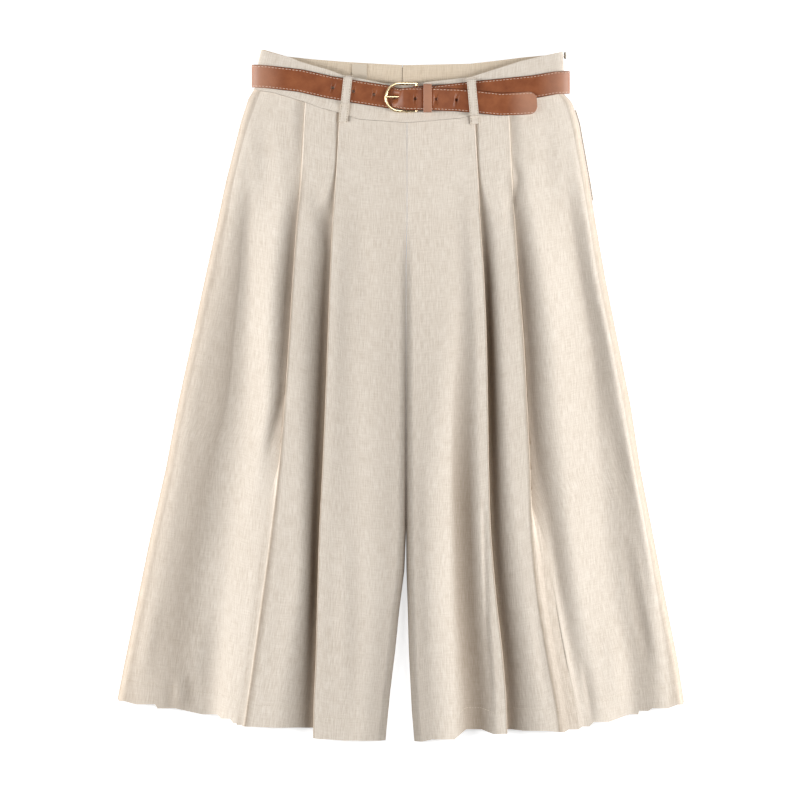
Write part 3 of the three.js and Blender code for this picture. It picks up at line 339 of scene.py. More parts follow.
LEFT = {
    "out": 1,
    "lip": 12,
    # painted shade laid on these parts of the section, as a share
    "painted_shades": {"dip": 0.4, "turn2": 0.12, "under2": 0.15, "floor2": 0.12, "fall": 0.3, "side": 0.3},
    "side": [(-385, 320), (-337, 310.2), (-290, 303), (-220, 289), (-150, 275.6), (-80, 262.1), (-10, 251.4),
             (60, 237.4), (130, 223.5), (190, 213), (236, 205.7), (300, 194.2), (321, 187.5), (328, 182),
             (331, 177.3), (366, 177.3), (380, 176.6)],
    "inseam": [(-385, 14.9), (-346, 11.6), (-279, 8.3), (-235, 7.2), (-192, 5.8), (-148, 5.4), (147, 5.4),
               (190, 6.3), (340, 6.3)],
    "across": {
        "swell": (46, 45, 43, 40, 39, 40, 44, 50, 52, 46, 44, 42, 40),
        "dip": (80, 79, 75, 70, 68, 66, 66, 68, 68, 64, 62, 60, 58),
        "pleat1": (116, 115.1, 111.2, 103.5, 97.8, 95.6, 94.4, 93.1, 90.3, 86.4, 83.8, 80.3, 79),
        "depth1": (22, 24, 26, 26, 26, 26, 26, 26, 26, 26, 26, 26, 26),
        "recess1": (120, 119, 115, 107.5, 102, 99.8, 98.6, 97, 94, 89.5, 85.4, 81.9, 80.6),
        "shoulder": (147, 144, 137, 127, 118.5, 113, 109.5, 106, 102.5, 98, 87.8, 84.3, 83),
        "pleat2": (176, 171, 161, 149.5, 143, 141, 137.6, 134, 128.5, 124.2, 121, 118.1, 115.5),
        "depth2": (-4, -4, -4, -2, 2, 10, 16, 18, 20, 20, 20, 20, 20),
        "recess2": (205, 200, 188, 175, 164, 151, 142, 138, 132, 127, 122.8, 119.7, 117),
        "ridge": (222, 218, 205, 191, 181, 172, 165, 160, 151, 142, 135, 128, 124),
        "valley": (256, 255, 252, 236, 227, 222.5, 216.5, 208.5, 197, 188, 180, 166, 156),
        "flank": (266, 266, 264, 256, 246, 240, 224, 216, 204, 195, 187, 173, 162),
        "crest": (285, 284, 281, 276, 266, 253, 240, 227, 212, 203, 195, 181, 168),
    },
    "height": {
        "inseam": (2.1, 2.1, 2.1, 2.4, 4, 6.5, 8.2, 9.6, 12.2, 14.2, 14.2, 14.2, 14.2),
        "roll": (11, 11, 11.4, 12, 12.4, 12.8, 13, 13, 14, 14.2, 14.2, 14.2, 14.2),
        "swell": (16.2, 16.4, 16.6, 16.8, 16.8, 16.6, 16, 15.2, 14.6, 14.4, 14.2, 14.2, 14.2),
        "dip": (7.4, 7.4, 7.4, 7.6, 8.6, 10, 11.8, 13, 14, 14.2, 14.2, 14.2, 14.2),
        "pleat1": (17.6, 17.6, 18, 18, 18, 18, 18, 17.6, 16.6, 15.4, 14.6, 14.2, 14.2),
        "recess1": (4.6, 4.6, 4.6, 4.6, 4.6, 4.6, 4.6, 5.2, 7, 9.6, 12.2, 12.1, 12.1),
        "shoulder": (15.4, 15.4, 15.6, 15.6, 15.6, 15.6, 15.6, 15.6, 15.2, 14.8, 14.3, 14.1, 14.1),
        "pleat2": (15.8, 15.8, 16, 16, 16, 16.2, 16.4, 16.4, 16, 15.2, 14.4, 14.1, 14.1),
        "recess2": (10, 9.8, 9, 7.6, 7, 6.4, 6, 6, 6.6, 9.4, 12.2, 12, 12),
        "ridge": (11, 11, 11.6, 12.6, 13.4, 14, 14.4, 14.4, 14.4, 14.4, 14, 14, 14),
        "valley": (5, 5, 4.8, 4.6, 4.6, 4.6, 4.6, 4.8, 5.6, 8, 11.4, 13.2, 13.2),
        "flank": (7, 7, 7, 7.2, 7, 6.4, 6.2, 6.4, 7.6, 9.4, 11.8, 13, 13),
        "crest": (11.6, 11.6, 11.6, 11.8, 11.6, 11.6, 11.6, 11, 10.6, 11, 12, 12.8, 12.4),
        "fall": (7, 7, 7, 7, 6.6, 6.2, 6, 5.8, 5.8, 6.6, 8.6, 11.6, 11.8),
    },
    "hem": (-379.5, -379.5, -377, -366, -371, -370.5, -370.5, -366, -366, -366.3, -367.5, -368.8,
            -368.8, -366, -366, -363, -358, -350, -346, -343, -339, -336.6),
}

# The section's corners from the inseam to the side seam, and how far from each its rounding
# starts. A corner that BENDS leaves out is a soft one.
CORNERS = ("inseam", "roll", "swell", "dip", "lip", "pleat1", "turn1", "under1", "floor1", "recess1",
           "shoulder", "pleat2", "turn2", "under2", "floor2", "recess2", "ridge", "valley", "flank",
           "crest", "fall", "side")
SOFT = 14
BENDS = {"roll": 4, "dip": 9, "flank": 10, "lip": 3, "pleat1": 0.35, "turn1": 0.35, "under1": 0.5,
         "floor1": 0.5, "recess1": 2.5, "pleat2": 0.5, "turn2": 0.4, "under2": 0.5, "floor2": 0.5,
         "recess2": 4, "fall": 8}
BEND_STEPS = 4
SPAN_STEPS = 4


def level(values, y):
    """A table row read at height y, along a smooth curve through its values."""
    levels = np.array(LEVELS, dtype=float)
    values = np.array(values, dtype=float)
    slope = np.gradient(values, levels)
    y = np.clip(y, levels[0], levels[-1])
    k = np.clip(np.searchsorted(levels, y) - 1, 0, len(levels) - 2)
    run = levels[k + 1] - levels[k]
    t = (y - levels[k]) / run
    return ((2 * t**3 - 3 * t**2 + 1) * values[k] + (t**3 - 2 * t**2 + t) * run * slope[k]
            + (3 * t**2 - 2 * t**3) * values[k + 1] + (t**3 - t**2) * run * slope[k + 1])


def front_corner(leg, corner, y):
    """Where a named corner of the section lies at height y: how far out, and how high."""
    def at(name):
        return level(leg["across"][name], y)

    def up(name):
        return level(leg["height"][name], y)

    if corner in leg["across"]:
        return at(corner), up(corner)
    if corner == "inseam":
        return along(leg["inseam"], y), up("inseam")
    if corner == "roll":
        return along(leg["inseam"], y) + 5, up("roll")
    if corner == "lip":
        return at("pleat1") - leg["lip"], up("pleat1") - 0.2
    if corner == "turn1":
        return at("pleat1"), up("pleat1") - LAYER
    if corner == "under1":
        return at("pleat1") - at("depth1"), up("recess1") + LAYER
    if corner == "floor1":
        return at("pleat1") - at("depth1"), up("recess1")
    if corner == "fall":
        return along(leg["side"], y) - 4, 0.5 * up("crest") + 0.5 * up("fall")
    if corner == "side":
        return along(leg["side"], y), along(SIDE_RISE, y) + 1.8
    folded = np.clip(at("depth2") / 8, 0, 1)
    across, drop = at("recess2") - at("pleat2"), up("pleat2") - LAYER - up("recess2")
    if corner == "turn2":
        return at("pleat2") + (1 - folded) * 0.15 * across, up("pleat2") - LAYER
    under = at("pleat2") - at("depth2")
    share = 0.35 if corner == "under2" else 0.7
    layer = LAYER if corner == "under2" else 0
    open_out = at("pleat2") + share * across
    open_up = up("pleat2") - LAYER - share * drop
    return open_out + folded * (under - open_out), open_up + folded * (up("recess2") + layer - open_up)


def bend_ends(leg, k, y):
    """Corner k, and the points where its rounding starts and stops."""
    corner = np.stack(front_corner(leg, CORNERS[k], y), axis=-1)
    if k in (0, len(CORNERS) - 1):
        return corner, corner, corner
    before = np.stack(front_corner(leg, CORNERS[k - 1], y), axis=-1)
    after = np.stack(front_corner(leg, CORNERS[k + 1], y), axis=-1)
    back = np.linalg.norm(before - corner, axis=-1, keepdims=True)
    ahead = np.linalg.norm(after - corner, axis=-1, keepdims=True)
    bend = np.minimum(BENDS.get(CORNERS[k], SOFT), np.minimum(0.46 * back, 0.46 * ahead))
    return corner, corner + (before - corner) * bend / back, corner + (after - corner) * bend / ahead


def front_columns():
    """Every column of the grid: its kind, its corner, and its share of the bend or span before."""
    columns = [("start", 0, 0.0)]
    for k in range(1, len(CORNERS)):
        inner = 0 if CORNERS[k] in ("turn1", "turn2", "floor1") else SPAN_STEPS
        columns += [("span", k, s / (inner + 1)) for s in range(1, inner + 1)]
        if k < len(CORNERS) - 1:
            columns += [("bend", k, s / BEND_STEPS) for s in range(BEND_STEPS + 1)]
    return columns + [("end", len(CORNERS) - 1, 1.0)]


def read_column(leg, column, y):
    """Where one column of the grid runs at height y: how far out, and how high."""
    kind, k, share = column
    if kind in ("start", "end"):
        return np.stack(front_corner(leg, CORNERS[k], y), axis=-1)
    corner, enter, leave = bend_ends(leg, k, y)
    if kind == "bend":
        first = enter + (corner - enter) * share
        return first + (corner + (leave - corner) * share - first) * share
    before = bend_ends(leg, k - 1, y)[2]
    return before + (enter - before) * share


# Smaller creases in millimetres: the path they follow from above, how wide and how deep they are.
CREASES = [
    ([(-92, 232), (-84, 195), (-83, 160)], 5, -1.3), ([(-100, 228), (-92, 200), (-88, 170)], 4, -0.9),
    ([(-232, -300), (-231, -345)], 5, -1.4), ([(-243, -305), (-246, -345)], 5, 1.3),
    ([(-251, -310), (-254, -350)], 4, -1.2), ([(-222, -250), (-226, -330)], 7, 0.8),
    ([(-126, 18), (-139, -33), (-147, -66)], 5, -1.2), ([(-200, -150), (-214, -250), (-216, -300)], 8, 0.7),
    ([(-168, 300), (-162, 255), (-160, 205)], 6, 0.35), ([(-150, 300), (-148, 250), (-152, 200)], 6, -0.35),
    ([(-138, 305), (-134, 260), (-136, 215)], 6, 0.3), ([(-125, 300), (-122, 250), (-126, 215)], 5, -0.3),
    ([(-46, 200), (-38, 120), (-40, 40)], 8, -0.5), ([(-270, -220), (-284, -310)], 7, 0.7),
    ([(-60, -140), (-62, -240), (-64, -340)], 8, 0.7), ([(-108, -170), (-122, -250), (-136, -340)], 7, 0.6),
    ([(112, 240), (120, 215), (118, 180)], 4, -1.2), ([(122, 262), (128, 238), (122, 208)], 3.5, -1.0),
    ([(134, 262), (138, 235), (140, 205)], 6, 0.4), ([(158, 300), (160, 250), (166, 200)], 6, -0.35),
    ([(170, 300), (175, 250), (182, 200)], 7, 0.35), ([(145, 305), (148, 265), (150, 220)], 6, 0.3),
    ([(90, -115), (92, -200), (94, -262), (97, -300), (99, -350)], 3, -1.5),
    ([(200, -290), (210, -360)], 4, -1.3), ([(245, -155), (262, -240), (274, -300)], 6, -1.3),
    ([(252, -150), (270, -240), (282, -300)], 5, 0.9), ([(230, -250), (238, -345)], 8, 0.9),
    ([(165, -200), (178, -280), (186, -350)], 6, 0.7), ([(26, -60), (30, -200), (34, -340)], 7, 0.6),
    ([(146, -220), (154, -290), (164, -350)], 6, -0.7), ([(214, 20), (226, -60), (240, -130)], 6, 0.5),
]


def crease_height(x, y):
    """How far the creases lift the cloth at (x, y), all in millimetres."""
    lift = np.zeros_like(x)
    for path, width, depth in CREASES:
        nearest = np.full_like(x, 1e9)
        where = np.zeros_like(x)
        lengths = [math.dist(a, b) for a, b in zip(path, path[1:])]
        total = sum(lengths)
        gone = 0.0
        for (ax, ay), (bx, by), length in zip(path, path[1:], lengths):
            t = np.clip(((x - ax) * (bx - ax) + (y - ay) * (by - ay)) / length**2, 0, 1)
            away = np.hypot(x - ax - t * (bx - ax), y - ay - t * (by - ay))
            closer = away < nearest
            nearest = np.where(closer, away, nearest)
            where = np.where(closer, (gone + t * length) / total, where)
            gone += length
        fade = np.sin(np.pi * np.clip(where, 0, 1)) ** 0.7
        lift += depth * fade * np.exp(-((nearest / width) ** 2))
    return lift


HEM_FOLD = 24                  # mm from the hem edge to the row of stitches
FRONT_ROWS = 200
TUCKED = ("turn1", "under1", "floor1", "turn2", "under2", "floor2")


def front_grid(leg):
    """The middle surface of one front, in metres, and each point's height above the hem."""
    shares = np.linspace(0, 1, FRONT_ROWS)
    columns = front_columns()
    points = np.zeros((FRONT_ROWS, len(columns), 3))
    above = np.zeros((FRONT_ROWS, len(columns)))
    for j, column in enumerate(columns):
        kind, k, share = column
        hem = leg["hem"][k]
        if kind == "span":
            hem = leg["hem"][k - 1] + share * (leg["hem"][k] - leg["hem"][k - 1])
        top = 300.0
        for _ in range(4):
            out = float(read_column(leg, column, np.array([top]))[0, 0])
            top = float(along(FRONT_SEAM, leg["out"] * out)) - 0.15
        y = top + (hem - top) * shares
        spot = read_column(leg, column, y)
        x = leg["out"] * spot[:, 0]
        edge = 0.0 if CORNERS[k] in TUCKED else min(1.0, j / 6, (len(columns) - 1 - j) / 6)
        lift = crease_height(x, y) * edge
        lift -= 0.35 * np.exp(-(((y - hem - HEM_FOLD) / 1.6) ** 2))
        points[:, j] = np.stack([x, y, spot[:, 1] + lift], axis=-1)
        above[:, j] = y - hem
    return points * MM, above


# Painted shade on the fronts: their colour is darkened where a crest stands near and above the cloth, under
# tucked pleats, on the pleat edges and on the parts each leg lists.
FOLD_REACH = 0.022             # m, how far off a crest can lay painted shade on the cloth beside it
FOLD_DEEP = 0.0125             # m, how far below that crest the cloth takes the full painted shade
TUCK_SHADE = 0.3               # least painted shade under a folded pleat edge
EDGE_SHADE = 0.5               # least painted shade on that edge, where it tones down the bright line along it
SEAM_SHARE = 0.35              # how much of its painted shade the cloth keeps where two legs meet
FULL_FOLD = 12                 # mm, a second pleat folded this deep takes the painted shade of the first
# How strongly each kind of painted shade holds, as (height up the leg, share).
SEWN_DIM = [(180, 1), (236, 0.3)]
VALLEY_DIM = [(-120, 1), (60, 0)]
HIP_DIM = [(90, 1), (198, 0.1)]


def painted_shade(leg, grid):
    """Painted shade at each point of a front, from 0 to 1: more the higher its neighbours stand above it,
    and more under tucked pleats, on pleat edges and on the parts the leg lists.
    """
    out, up = np.abs(grid[..., 0]), grid[..., 2]
    shade = np.zeros(up.shape)
    for i in range(len(grid)):
        away = np.abs(out[i][:, None] - out[i][None, :])
        over = (up[i][None, :] - up[i][:, None]) * np.clip(1 - away / FOLD_REACH, 0, 1)
        inner = np.where(out[i][None, :] < out[i][:, None], over, 0).max(axis=1)
        outer = np.where(out[i][None, :] > out[i][:, None], over, 0).max(axis=1)
        shade[i] = np.clip((0.5 * inner + outer) / FOLD_DEEP, 0, 1)
    y = grid[:, 0, 1] / MM
    sewn = along(SEWN_DIM, y)
    folded = np.clip(level(leg["across"]["depth2"], y) / FULL_FOLD, 0.5, 1)
    reach = {name: along(VALLEY_DIM, y) for name in ("swell", "dip", "lip")}
    reach |= {name: along(HIP_DIM, y) for name in ("flank", "crest")}
    own = [leg["painted_shades"].get(name, 0.0) for name in CORNERS]
    for j, (kind, k, share) in enumerate(front_columns()):
        name = CORNERS[k]
        if name in TUCKED:
            shut = folded if name.endswith("2") else 1
            shade[:, j] = np.maximum(shade[:, j], TUCK_SHADE * sewn * shut)
        if name in ("pleat1", "pleat2") and kind == "bend":
            shade[:, j] = np.maximum(shade[:, j], EDGE_SHADE * sewn)
        if name in ("inseam", "roll"):
            shade[:, j] *= SEAM_SHARE
        extra = own[k - 1] + share * (own[k] - own[k - 1]) if kind == "span" else own[k]
        shade[:, j] += extra * reach.get(name, 1)
    return np.clip(shade, 0, 1)


right_grid, right_above = front_grid(RIGHT)
left_grid, left_above = front_grid(LEFT)
front_right = cloth_wall("pleated_front_right", right_grid, PANEL * MM, linen_cloth,
                         painted_shade(RIGHT, right_grid))
front_left = cloth_wall("pleated_front_left", left_grid, PANEL * MM, linen_cloth,
                        painted_shade(LEFT, left_grid))
for front, grid, node, back in ((front_right, right_grid, "front_right", "back_right"),
                                (front_left, left_grid, "front_left", "back_left")):
    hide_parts(node)
    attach(front, "root")

# ---------------------------------------------------------------- backs
# Each back is a plain flared panel of the same cloth that lies flat on the table. It rises a
# little over the belt to its waistband, and turns up where its side seam meets the front.
BACK_TOP = [(-151.3, 380.6), (-124.9, 372.9), (-98.5, 370.2), (-64.4, 367.4), (-28.1, 365.2), (3.9, 363.6),
            (75.4, 365.2), (104, 368.5), (130.4, 371.8), (165.6, 375.1), (176.6, 378.6)]
BACK_BAND_WIDTH = 42
BACK_REST = 0.6                # the middle of the cloth above the table
EDGE_TURN = 26                 # mm, how near its side seam the back starts to turn up
BACK_LIFT = [(286, 0), (300, 0.6), (314, 2.6), (322, 4)]
BACK_HEM = [(-20, -371), (50, -365), (100, -360), (150, -357), (200, -349), (250, -338), (320, -327)]


def back_grid(leg):
    """The middle surface of one back, in metres."""
    columns = np.linspace(0, 1, 60)
    shares = np.linspace(0, 1, 140)
    points = np.zeros((len(shares), len(columns), 3))
    for j, column in enumerate(columns):
        def place(y, column=column):
            inner = along(leg["inseam"], y)
            return inner + (along(leg["side"], y) - inner) * column
        top = 330.0
        for _ in range(5):
            top = float(along(BACK_TOP, leg["out"] * place(top))) - BACK_BAND_WIDTH - 0.2
        y = top + (float(along(BACK_HEM, place(-350.0))) - top) * shares
        out = place(y)
        turned = np.clip(1 - (along(leg["side"], y) - out) / EDGE_TURN, 0, 1) ** 2
        flat = BACK_REST + along(BACK_LIFT, y)
        height = flat + turned * (np.maximum(flat, along(SIDE_RISE, y)) - flat)
        points[:, j] = np.stack([leg["out"] * out, y, height], axis=-1)
    return points * MM


for leg, node in ((RIGHT, "back_right"), (LEFT, "back_left")):
    grid = back_grid(leg)
    back = cloth_wall("flared_" + node, grid, PANEL * MM, linen_cloth)
    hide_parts(node)
    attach(back, "root")

# ---------------------------------------------------------------- waistbands
# The waistband is a straight double band of the cloth with interfacing, about 42 mm deep. The
# front is one piece; the back is in two, joined at the centre back seam. It turns over at the
# sides, where the belt draws it in, and its back shows its inside above the front's top edge.
BAND = 1.5
FRONT_TOP = [(-153.5, 379.5), (-122.7, 371.8), (-111.7, 367), (-78.7, 357.5), (-64.4, 352), (-19.3, 343.2),
             (6, 342.1), (75.4, 349.8), (130.4, 367.4), (177.3, 378.4)]
BAND_STEPS = 150
BAND_ROUND = 12
CENTRE_BACK = 0.482            # where the centre back seam is, as a share of the waist
WAIST_X = (-157, 177)


def band_grid(top, seam, z, edge_z, low_share, high_share, rows=24):
    """The middle surface of a waistband from one share of the waist to another, in metres."""
    even = np.linspace(low_share, high_share, BAND_STEPS)
    columns = (1 - np.cos(np.pi * even)) / 2
    points = np.zeros((rows, BAND_STEPS, 3))
    for i, row in enumerate(np.linspace(0, 1, rows)):
        def edge_y(x, row=row):
            low = along(seam, x) if seam else along(top, x) - BACK_BAND_WIDTH
            return along(top, x) + (low + 0.15 - along(top, x)) * row
        rough = edge_y(WAIST_X[0] + (WAIST_X[1] - WAIST_X[0]) * columns)
        low = -along(RIGHT["side"], rough)
        high = along(LEFT["side"], rough)
        x = low + (high - low) * columns
        inward = np.clip(np.minimum(x - low, high - x) / BAND_ROUND, 0, 1)
        height = edge_z + (z - edge_z) * np.sqrt(1 - (1 - inward) ** 2)
        points[i] = np.stack([x, edge_y(x), height], axis=-1)
    return points * MM


BAND_PARTS = [
    ("front_waistband", FRONT_TOP, FRONT_SEAM, 14.2, 8.7, 0, 1, linen_cloth, (0.345, 0.048)),
    ("back_waistband_right", BACK_TOP, None, 4.8, 6.8, 0, CENTRE_BACK, linen_inside, (0.17, 0.046)),
    ("back_waistband_left", BACK_TOP, None, 4.8, 6.8, CENTRE_BACK + 0.0012, 1, linen_inside, (0.185, 0.046)),
]
for node, top, seam, z, edge_z, low_share, high_share, finish, flat in BAND_PARTS:
    grid = band_grid(top, seam, z, edge_z, low_share, high_share)
    band = cloth_wall("sewn_" + node, grid, BAND * MM, finish)
    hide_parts(node)
    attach(band, "root")

# ---------------------------------------------------------------- belt
# One strap of tan split-grain leather, 25 mm wide and 2.2 mm thick, edge-painted dark and
# saddle-stitched in cream thread near both edges. It is punched with seven holes, runs all the
# way round the waist, and its other end is folded round the buckle's bar.
BELT_WIDE = 25
BELT_THICK = 2.2
BELT_BACK_Z = 2.6
BAND_TOP = 15.0                # the front waistband's face
END_RUN = 14
PITCH = 22.6                   # hole to hole
PRONG_HOLE_X = -7.6
BAR_X, BUCKLE_Y, BUCKLE_Z, ROD = 16.5, 327.4, BAND_TOP + 4.3, 1.5
BAR_Z = BUCKLE_Z + 0.1
RIM_X, HALF_HEIGHT = -17.1, 15
TIP_X = 148.5
TIP_RUN_Y = [(-163.8, 352.3), (-150, 350.4), (-111.7, 346), (-78.7, 338.6), (-52, 334), (-19.3, 328.9),
             (0, 325.6), (28, 325.4), (61, 324.5), (85, 322.4), (108.4, 319.8), (130.4, 320.6),
             (148.5, 321.8)]
TIP_RUN_Z = [(-150, 1.4), (-10.4, 1.4), (PRONG_HOLE_X, 4.6), (-3.5, 8.2), (2, 9.6), (BAR_X, 9.8),
             (22.5, 8.3), (35, 8.2), (48, 6), (60, 4), (148.5, 4)]
END_RUN_Y = [(BAR_X, 327.4), (36, 327.7), (46, 329), (82, 333), (123.8, 337.2), (146.9, 339.6),
             (169.7, 343.6), (184.8, 345.2)]
END_RUN_Z = [(BAR_X, 7.3), (22.5, 5.7), (36, 5.7), (50, 3), (58, 1.5), (170, 1.4)]
RETURN_Z = [(BAR_X, 1.5), (22.5, 3.2), (35, 3.2), (42, 2.9)]
CROWN = [(-10.4, 0), (PRONG_HOLE_X, 3.2), (-3.5, 3.8), (2, 1.6), (8, 0)]
SIDE_X = (-149.4, 169.7)
SIDE_SHIFT = (1.9, 1.6)        # how much higher up the garment the back run is at each side
WRAP = ROD + 0.3 + BELT_THICK / 2


# A painted highlight lifts the strap's colour where it curves round the sides and towards its tip: from the
# first place to the second, in metres across the waist at both sides, and in metres from the tip.
LEFT_END_HIGHLIGHT = (0.145, 0.18)
RIGHT_END_HIGHLIGHT = (-0.125, -0.16)
TIP_HIGHLIGHT = (0.036, 0.008)
HIGHLIGHT_SHARE = 0.42


def leather(name, light, dark, edge, highlight_colour):
    """Split leather with a dark painted edge: cloudy, finely grained, with a dull waxy shine, and a painted
    highlight at its curved ends.
    """
    material, tree, shader = finish_named(name)
    shader.inputs["Roughness"].default_value = 0.48
    shader.inputs["IOR"].default_value = 1.45
    shader.inputs["Coat Weight"].default_value = 0.12
    shader.inputs["Coat Roughness"].default_value = 0.35
    spot = add(tree, "ShaderNodeTexCoord")
    patches = add(tree, "ShaderNodeTexNoise", Vector=spot.outputs["Object"], Scale=1 / (14 * MM), Detail=4.0,
                  Roughness=0.65)
    ramp = add(tree, "ShaderNodeValToRGB", Fac=patches.outputs["Fac"])
    ramp.color_ramp.elements[0].position = 0.3
    ramp.color_ramp.elements[0].color = paint(dark)
    ramp.color_ramp.elements[1].position = 0.72
    ramp.color_ramp.elements[1].color = paint(light)
    place = add(tree, "ShaderNodeUVMap", {"uv_map": "strap"})
    split = add(tree, "ShaderNodeSeparateXYZ", Vector=place.outputs["UV"])
    rim = add(tree, "ShaderNodeMapRange", {"interpolation_type": "SMOOTHSTEP"}, Value=split.outputs["Y"],
              i1=0.93, i2=0.985, i3=0.0, i4=1.0)
    mixed = add(tree, "ShaderNodeMix", {"data_type": "RGBA"}, i0=rim.outputs["Result"],
                i6=ramp.outputs["Color"], i7=paint(edge))
    across = add(tree, "ShaderNodeSeparateXYZ", Vector=spot.outputs["Object"])
    # Painted highlight at the strap's curved sides and tip: the colour is mixed towards the pale one.
    highlight_spans = ((across.outputs["X"], *LEFT_END_HIGHLIGHT), (across.outputs["X"], *RIGHT_END_HIGHLIGHT),
             (split.outputs["X"], *TIP_HIGHLIGHT))
    lit_ends = [add(tree, "ShaderNodeMapRange", {"interpolation_type": "SMOOTHSTEP"}, Value=source, i1=low,
                i2=high).outputs["Result"] for source, low, high in highlight_spans]
    either = add(tree, "ShaderNodeMath", {"operation": "MAXIMUM"}, i0=lit_ends[0], i1=lit_ends[1])
    most = add(tree, "ShaderNodeMath", {"operation": "MAXIMUM"}, i0=either.outputs[0], i1=lit_ends[2])
    highlight_weight = add(tree, "ShaderNodeMath", {"operation": "MULTIPLY"}, i0=most.outputs[0], i1=HIGHLIGHT_SHARE)
    highlit = add(tree, "ShaderNodeMix", {"data_type": "RGBA"}, i0=highlight_weight.outputs[0], i6=mixed.outputs[2],
               i7=paint(highlight_colour))
    tree.links.new(highlit.outputs[2], shader.inputs["Base Color"])
    grain = add(tree, "ShaderNodeTexVoronoi", {"feature": "DISTANCE_TO_EDGE"}, Vector=spot.outputs["Object"],
                Scale=1 / (1.3 * MM), Randomness=0.9)
    fine = add(tree, "ShaderNodeTexNoise", Vector=spot.outputs["Object"], Scale=1 / (0.7 * MM), Detail=3.0)
    height = add(tree, "ShaderNodeMath", {"operation": "MULTIPLY_ADD"}, i0=fine.outputs["Fac"], i1=0.7,
                 i2=grain.outputs["Distance"])
    relief = add(tree, "ShaderNodeBump", Strength=0.35, Distance=0.12 * MM, Height=height.outputs[0])
    tree.links.new(relief.outputs["Normal"], shader.inputs["Normal"])
    return material


tan_leather = leather("tan_split_leather", "#a3603a", "#844626", "#4a2312", "#e0b096")


def belt_line():
    """The strap's centre line from its tip to its folded end, with how far its middle is crowned."""
    line = []

    def lay(x, y, z, crown=0.0):
        line.append((Vector((x, y, z)), crown))

    x = TIP_X
    while x > SIDE_X[0]:
        lay(x, float(along(TIP_RUN_Y, x)), BAND_TOP + float(along(TIP_RUN_Z, x)), float(along(CROWN, x)))
        x -= 1.2 if -20 < x < 30 else 3.0
    rise = (BAND_TOP + 1.4 - BELT_BACK_Z) / 2
    start_y = float(along(TIP_RUN_Y, SIDE_X[0]))
    end_y = float(along(END_RUN_Y, SIDE_X[1]))
    for s in range(25):
        turn = math.pi * s / 24
        lay(SIDE_X[0] - END_RUN * math.sin(turn), start_y + SIDE_SHIFT[0] * s / 24,
            BELT_BACK_Z + rise * (1 + math.cos(turn)))
    back_right, back_left = start_y + SIDE_SHIFT[0], end_y + SIDE_SHIFT[1]
    for s in range(1, 60):
        share = s / 60
        lay(SIDE_X[0] + (SIDE_X[1] - SIDE_X[0]) * share, back_right + (back_left - back_right) * share,
            BELT_BACK_Z)
    for s in range(25):
        turn = math.pi * s / 24
        lay(SIDE_X[1] + END_RUN * math.sin(turn), end_y + SIDE_SHIFT[1] * (1 - s / 24),
            BELT_BACK_Z + rise * (1 - math.cos(turn)))
    x = SIDE_X[1] - 3
    while x > BAR_X + 1:
        lay(x, float(along(END_RUN_Y, x)), BAND_TOP + float(along(END_RUN_Z, x)))
        x -= 2.0
    for s in range(17):
        turn = math.pi * s / 16
        lay(BAR_X - WRAP * math.sin(turn), BUCKLE_Y, BAR_Z + WRAP * math.cos(turn))
    for x in range(19, 43, 2):
        lay(x, float(along(END_RUN_Y, x)), BAND_TOP + float(along(RETURN_Z, x)))
    return line


TIP_TAPER = [(0, 5.5), (1.2, 8.2), (3, 10.3), (5.5, 11.8), (8.5, BELT_WIDE / 2)]
STRAP_RING = 20


def strap_mesh():
    """The strap as rings round its centre line: flat faces, rounded edges."""
    line = belt_line()
    first, second = line[0][0], line[1][0]
    run = (second - first).normalized()
    tip = [(first + run * back, 0.0) for back in (0, 0.6, 1.2, 2, 3, 4.2, 5.5, 7)]
    line = tip + [stop for stop in line[1:] if (stop[0] - first).length > 8]
    points = []
    uvs = []
    gone = 0.0
    for k, (centre, crown) in enumerate(line):
        after = line[min(k + 1, len(line) - 1)][0]
        before = line[max(k - 1, 0)][0]
        way = (after - before).normalized()
        level_way = Vector((way.x, way.y, 0))
        lean = level_way.normalized() if crown > 0 else way
        side = (Vector((0, 1, 0)) - lean * lean.y).normalized()
        up = side.cross(way).normalized()
        if k:
            gone += (centre - line[k - 1][0]).length
        near_tip = (centre - first).length if k < 12 else 99.0
        half = float(along(TIP_TAPER, near_tip)) - 0.38 * crown
        for s in range(STRAP_RING):
            turn = 2 * math.pi * (s + 0.5) / STRAP_RING
            across = math.copysign(abs(math.cos(turn)) ** 0.16, math.cos(turn))
            thick = math.copysign(abs(math.sin(turn)) ** 0.4, math.sin(turn)) * BELT_THICK / 2
            drop = crown * max(0.0, (abs(across) - 0.45) / 0.55) ** 1.3
            points.append((centre + side * (across * half) + up * thick - Vector((0, 0, drop))) * MM)
            uvs.append((gone * MM, abs(across) if abs(across) < 0.999 else 1.0))
    faces = []
    rings = len(line)
    for k in range(rings - 1):
        for s in range(STRAP_RING):
            t = (s + 1) % STRAP_RING
            near, far = k * STRAP_RING, (k + 1) * STRAP_RING
            faces.append((near + s, near + t, far + t, far + s))
    faces.append(tuple(range(STRAP_RING))[::-1])
    faces.append(tuple((rings - 1) * STRAP_RING + s for s in range(STRAP_RING)))
    return points, faces, uvs


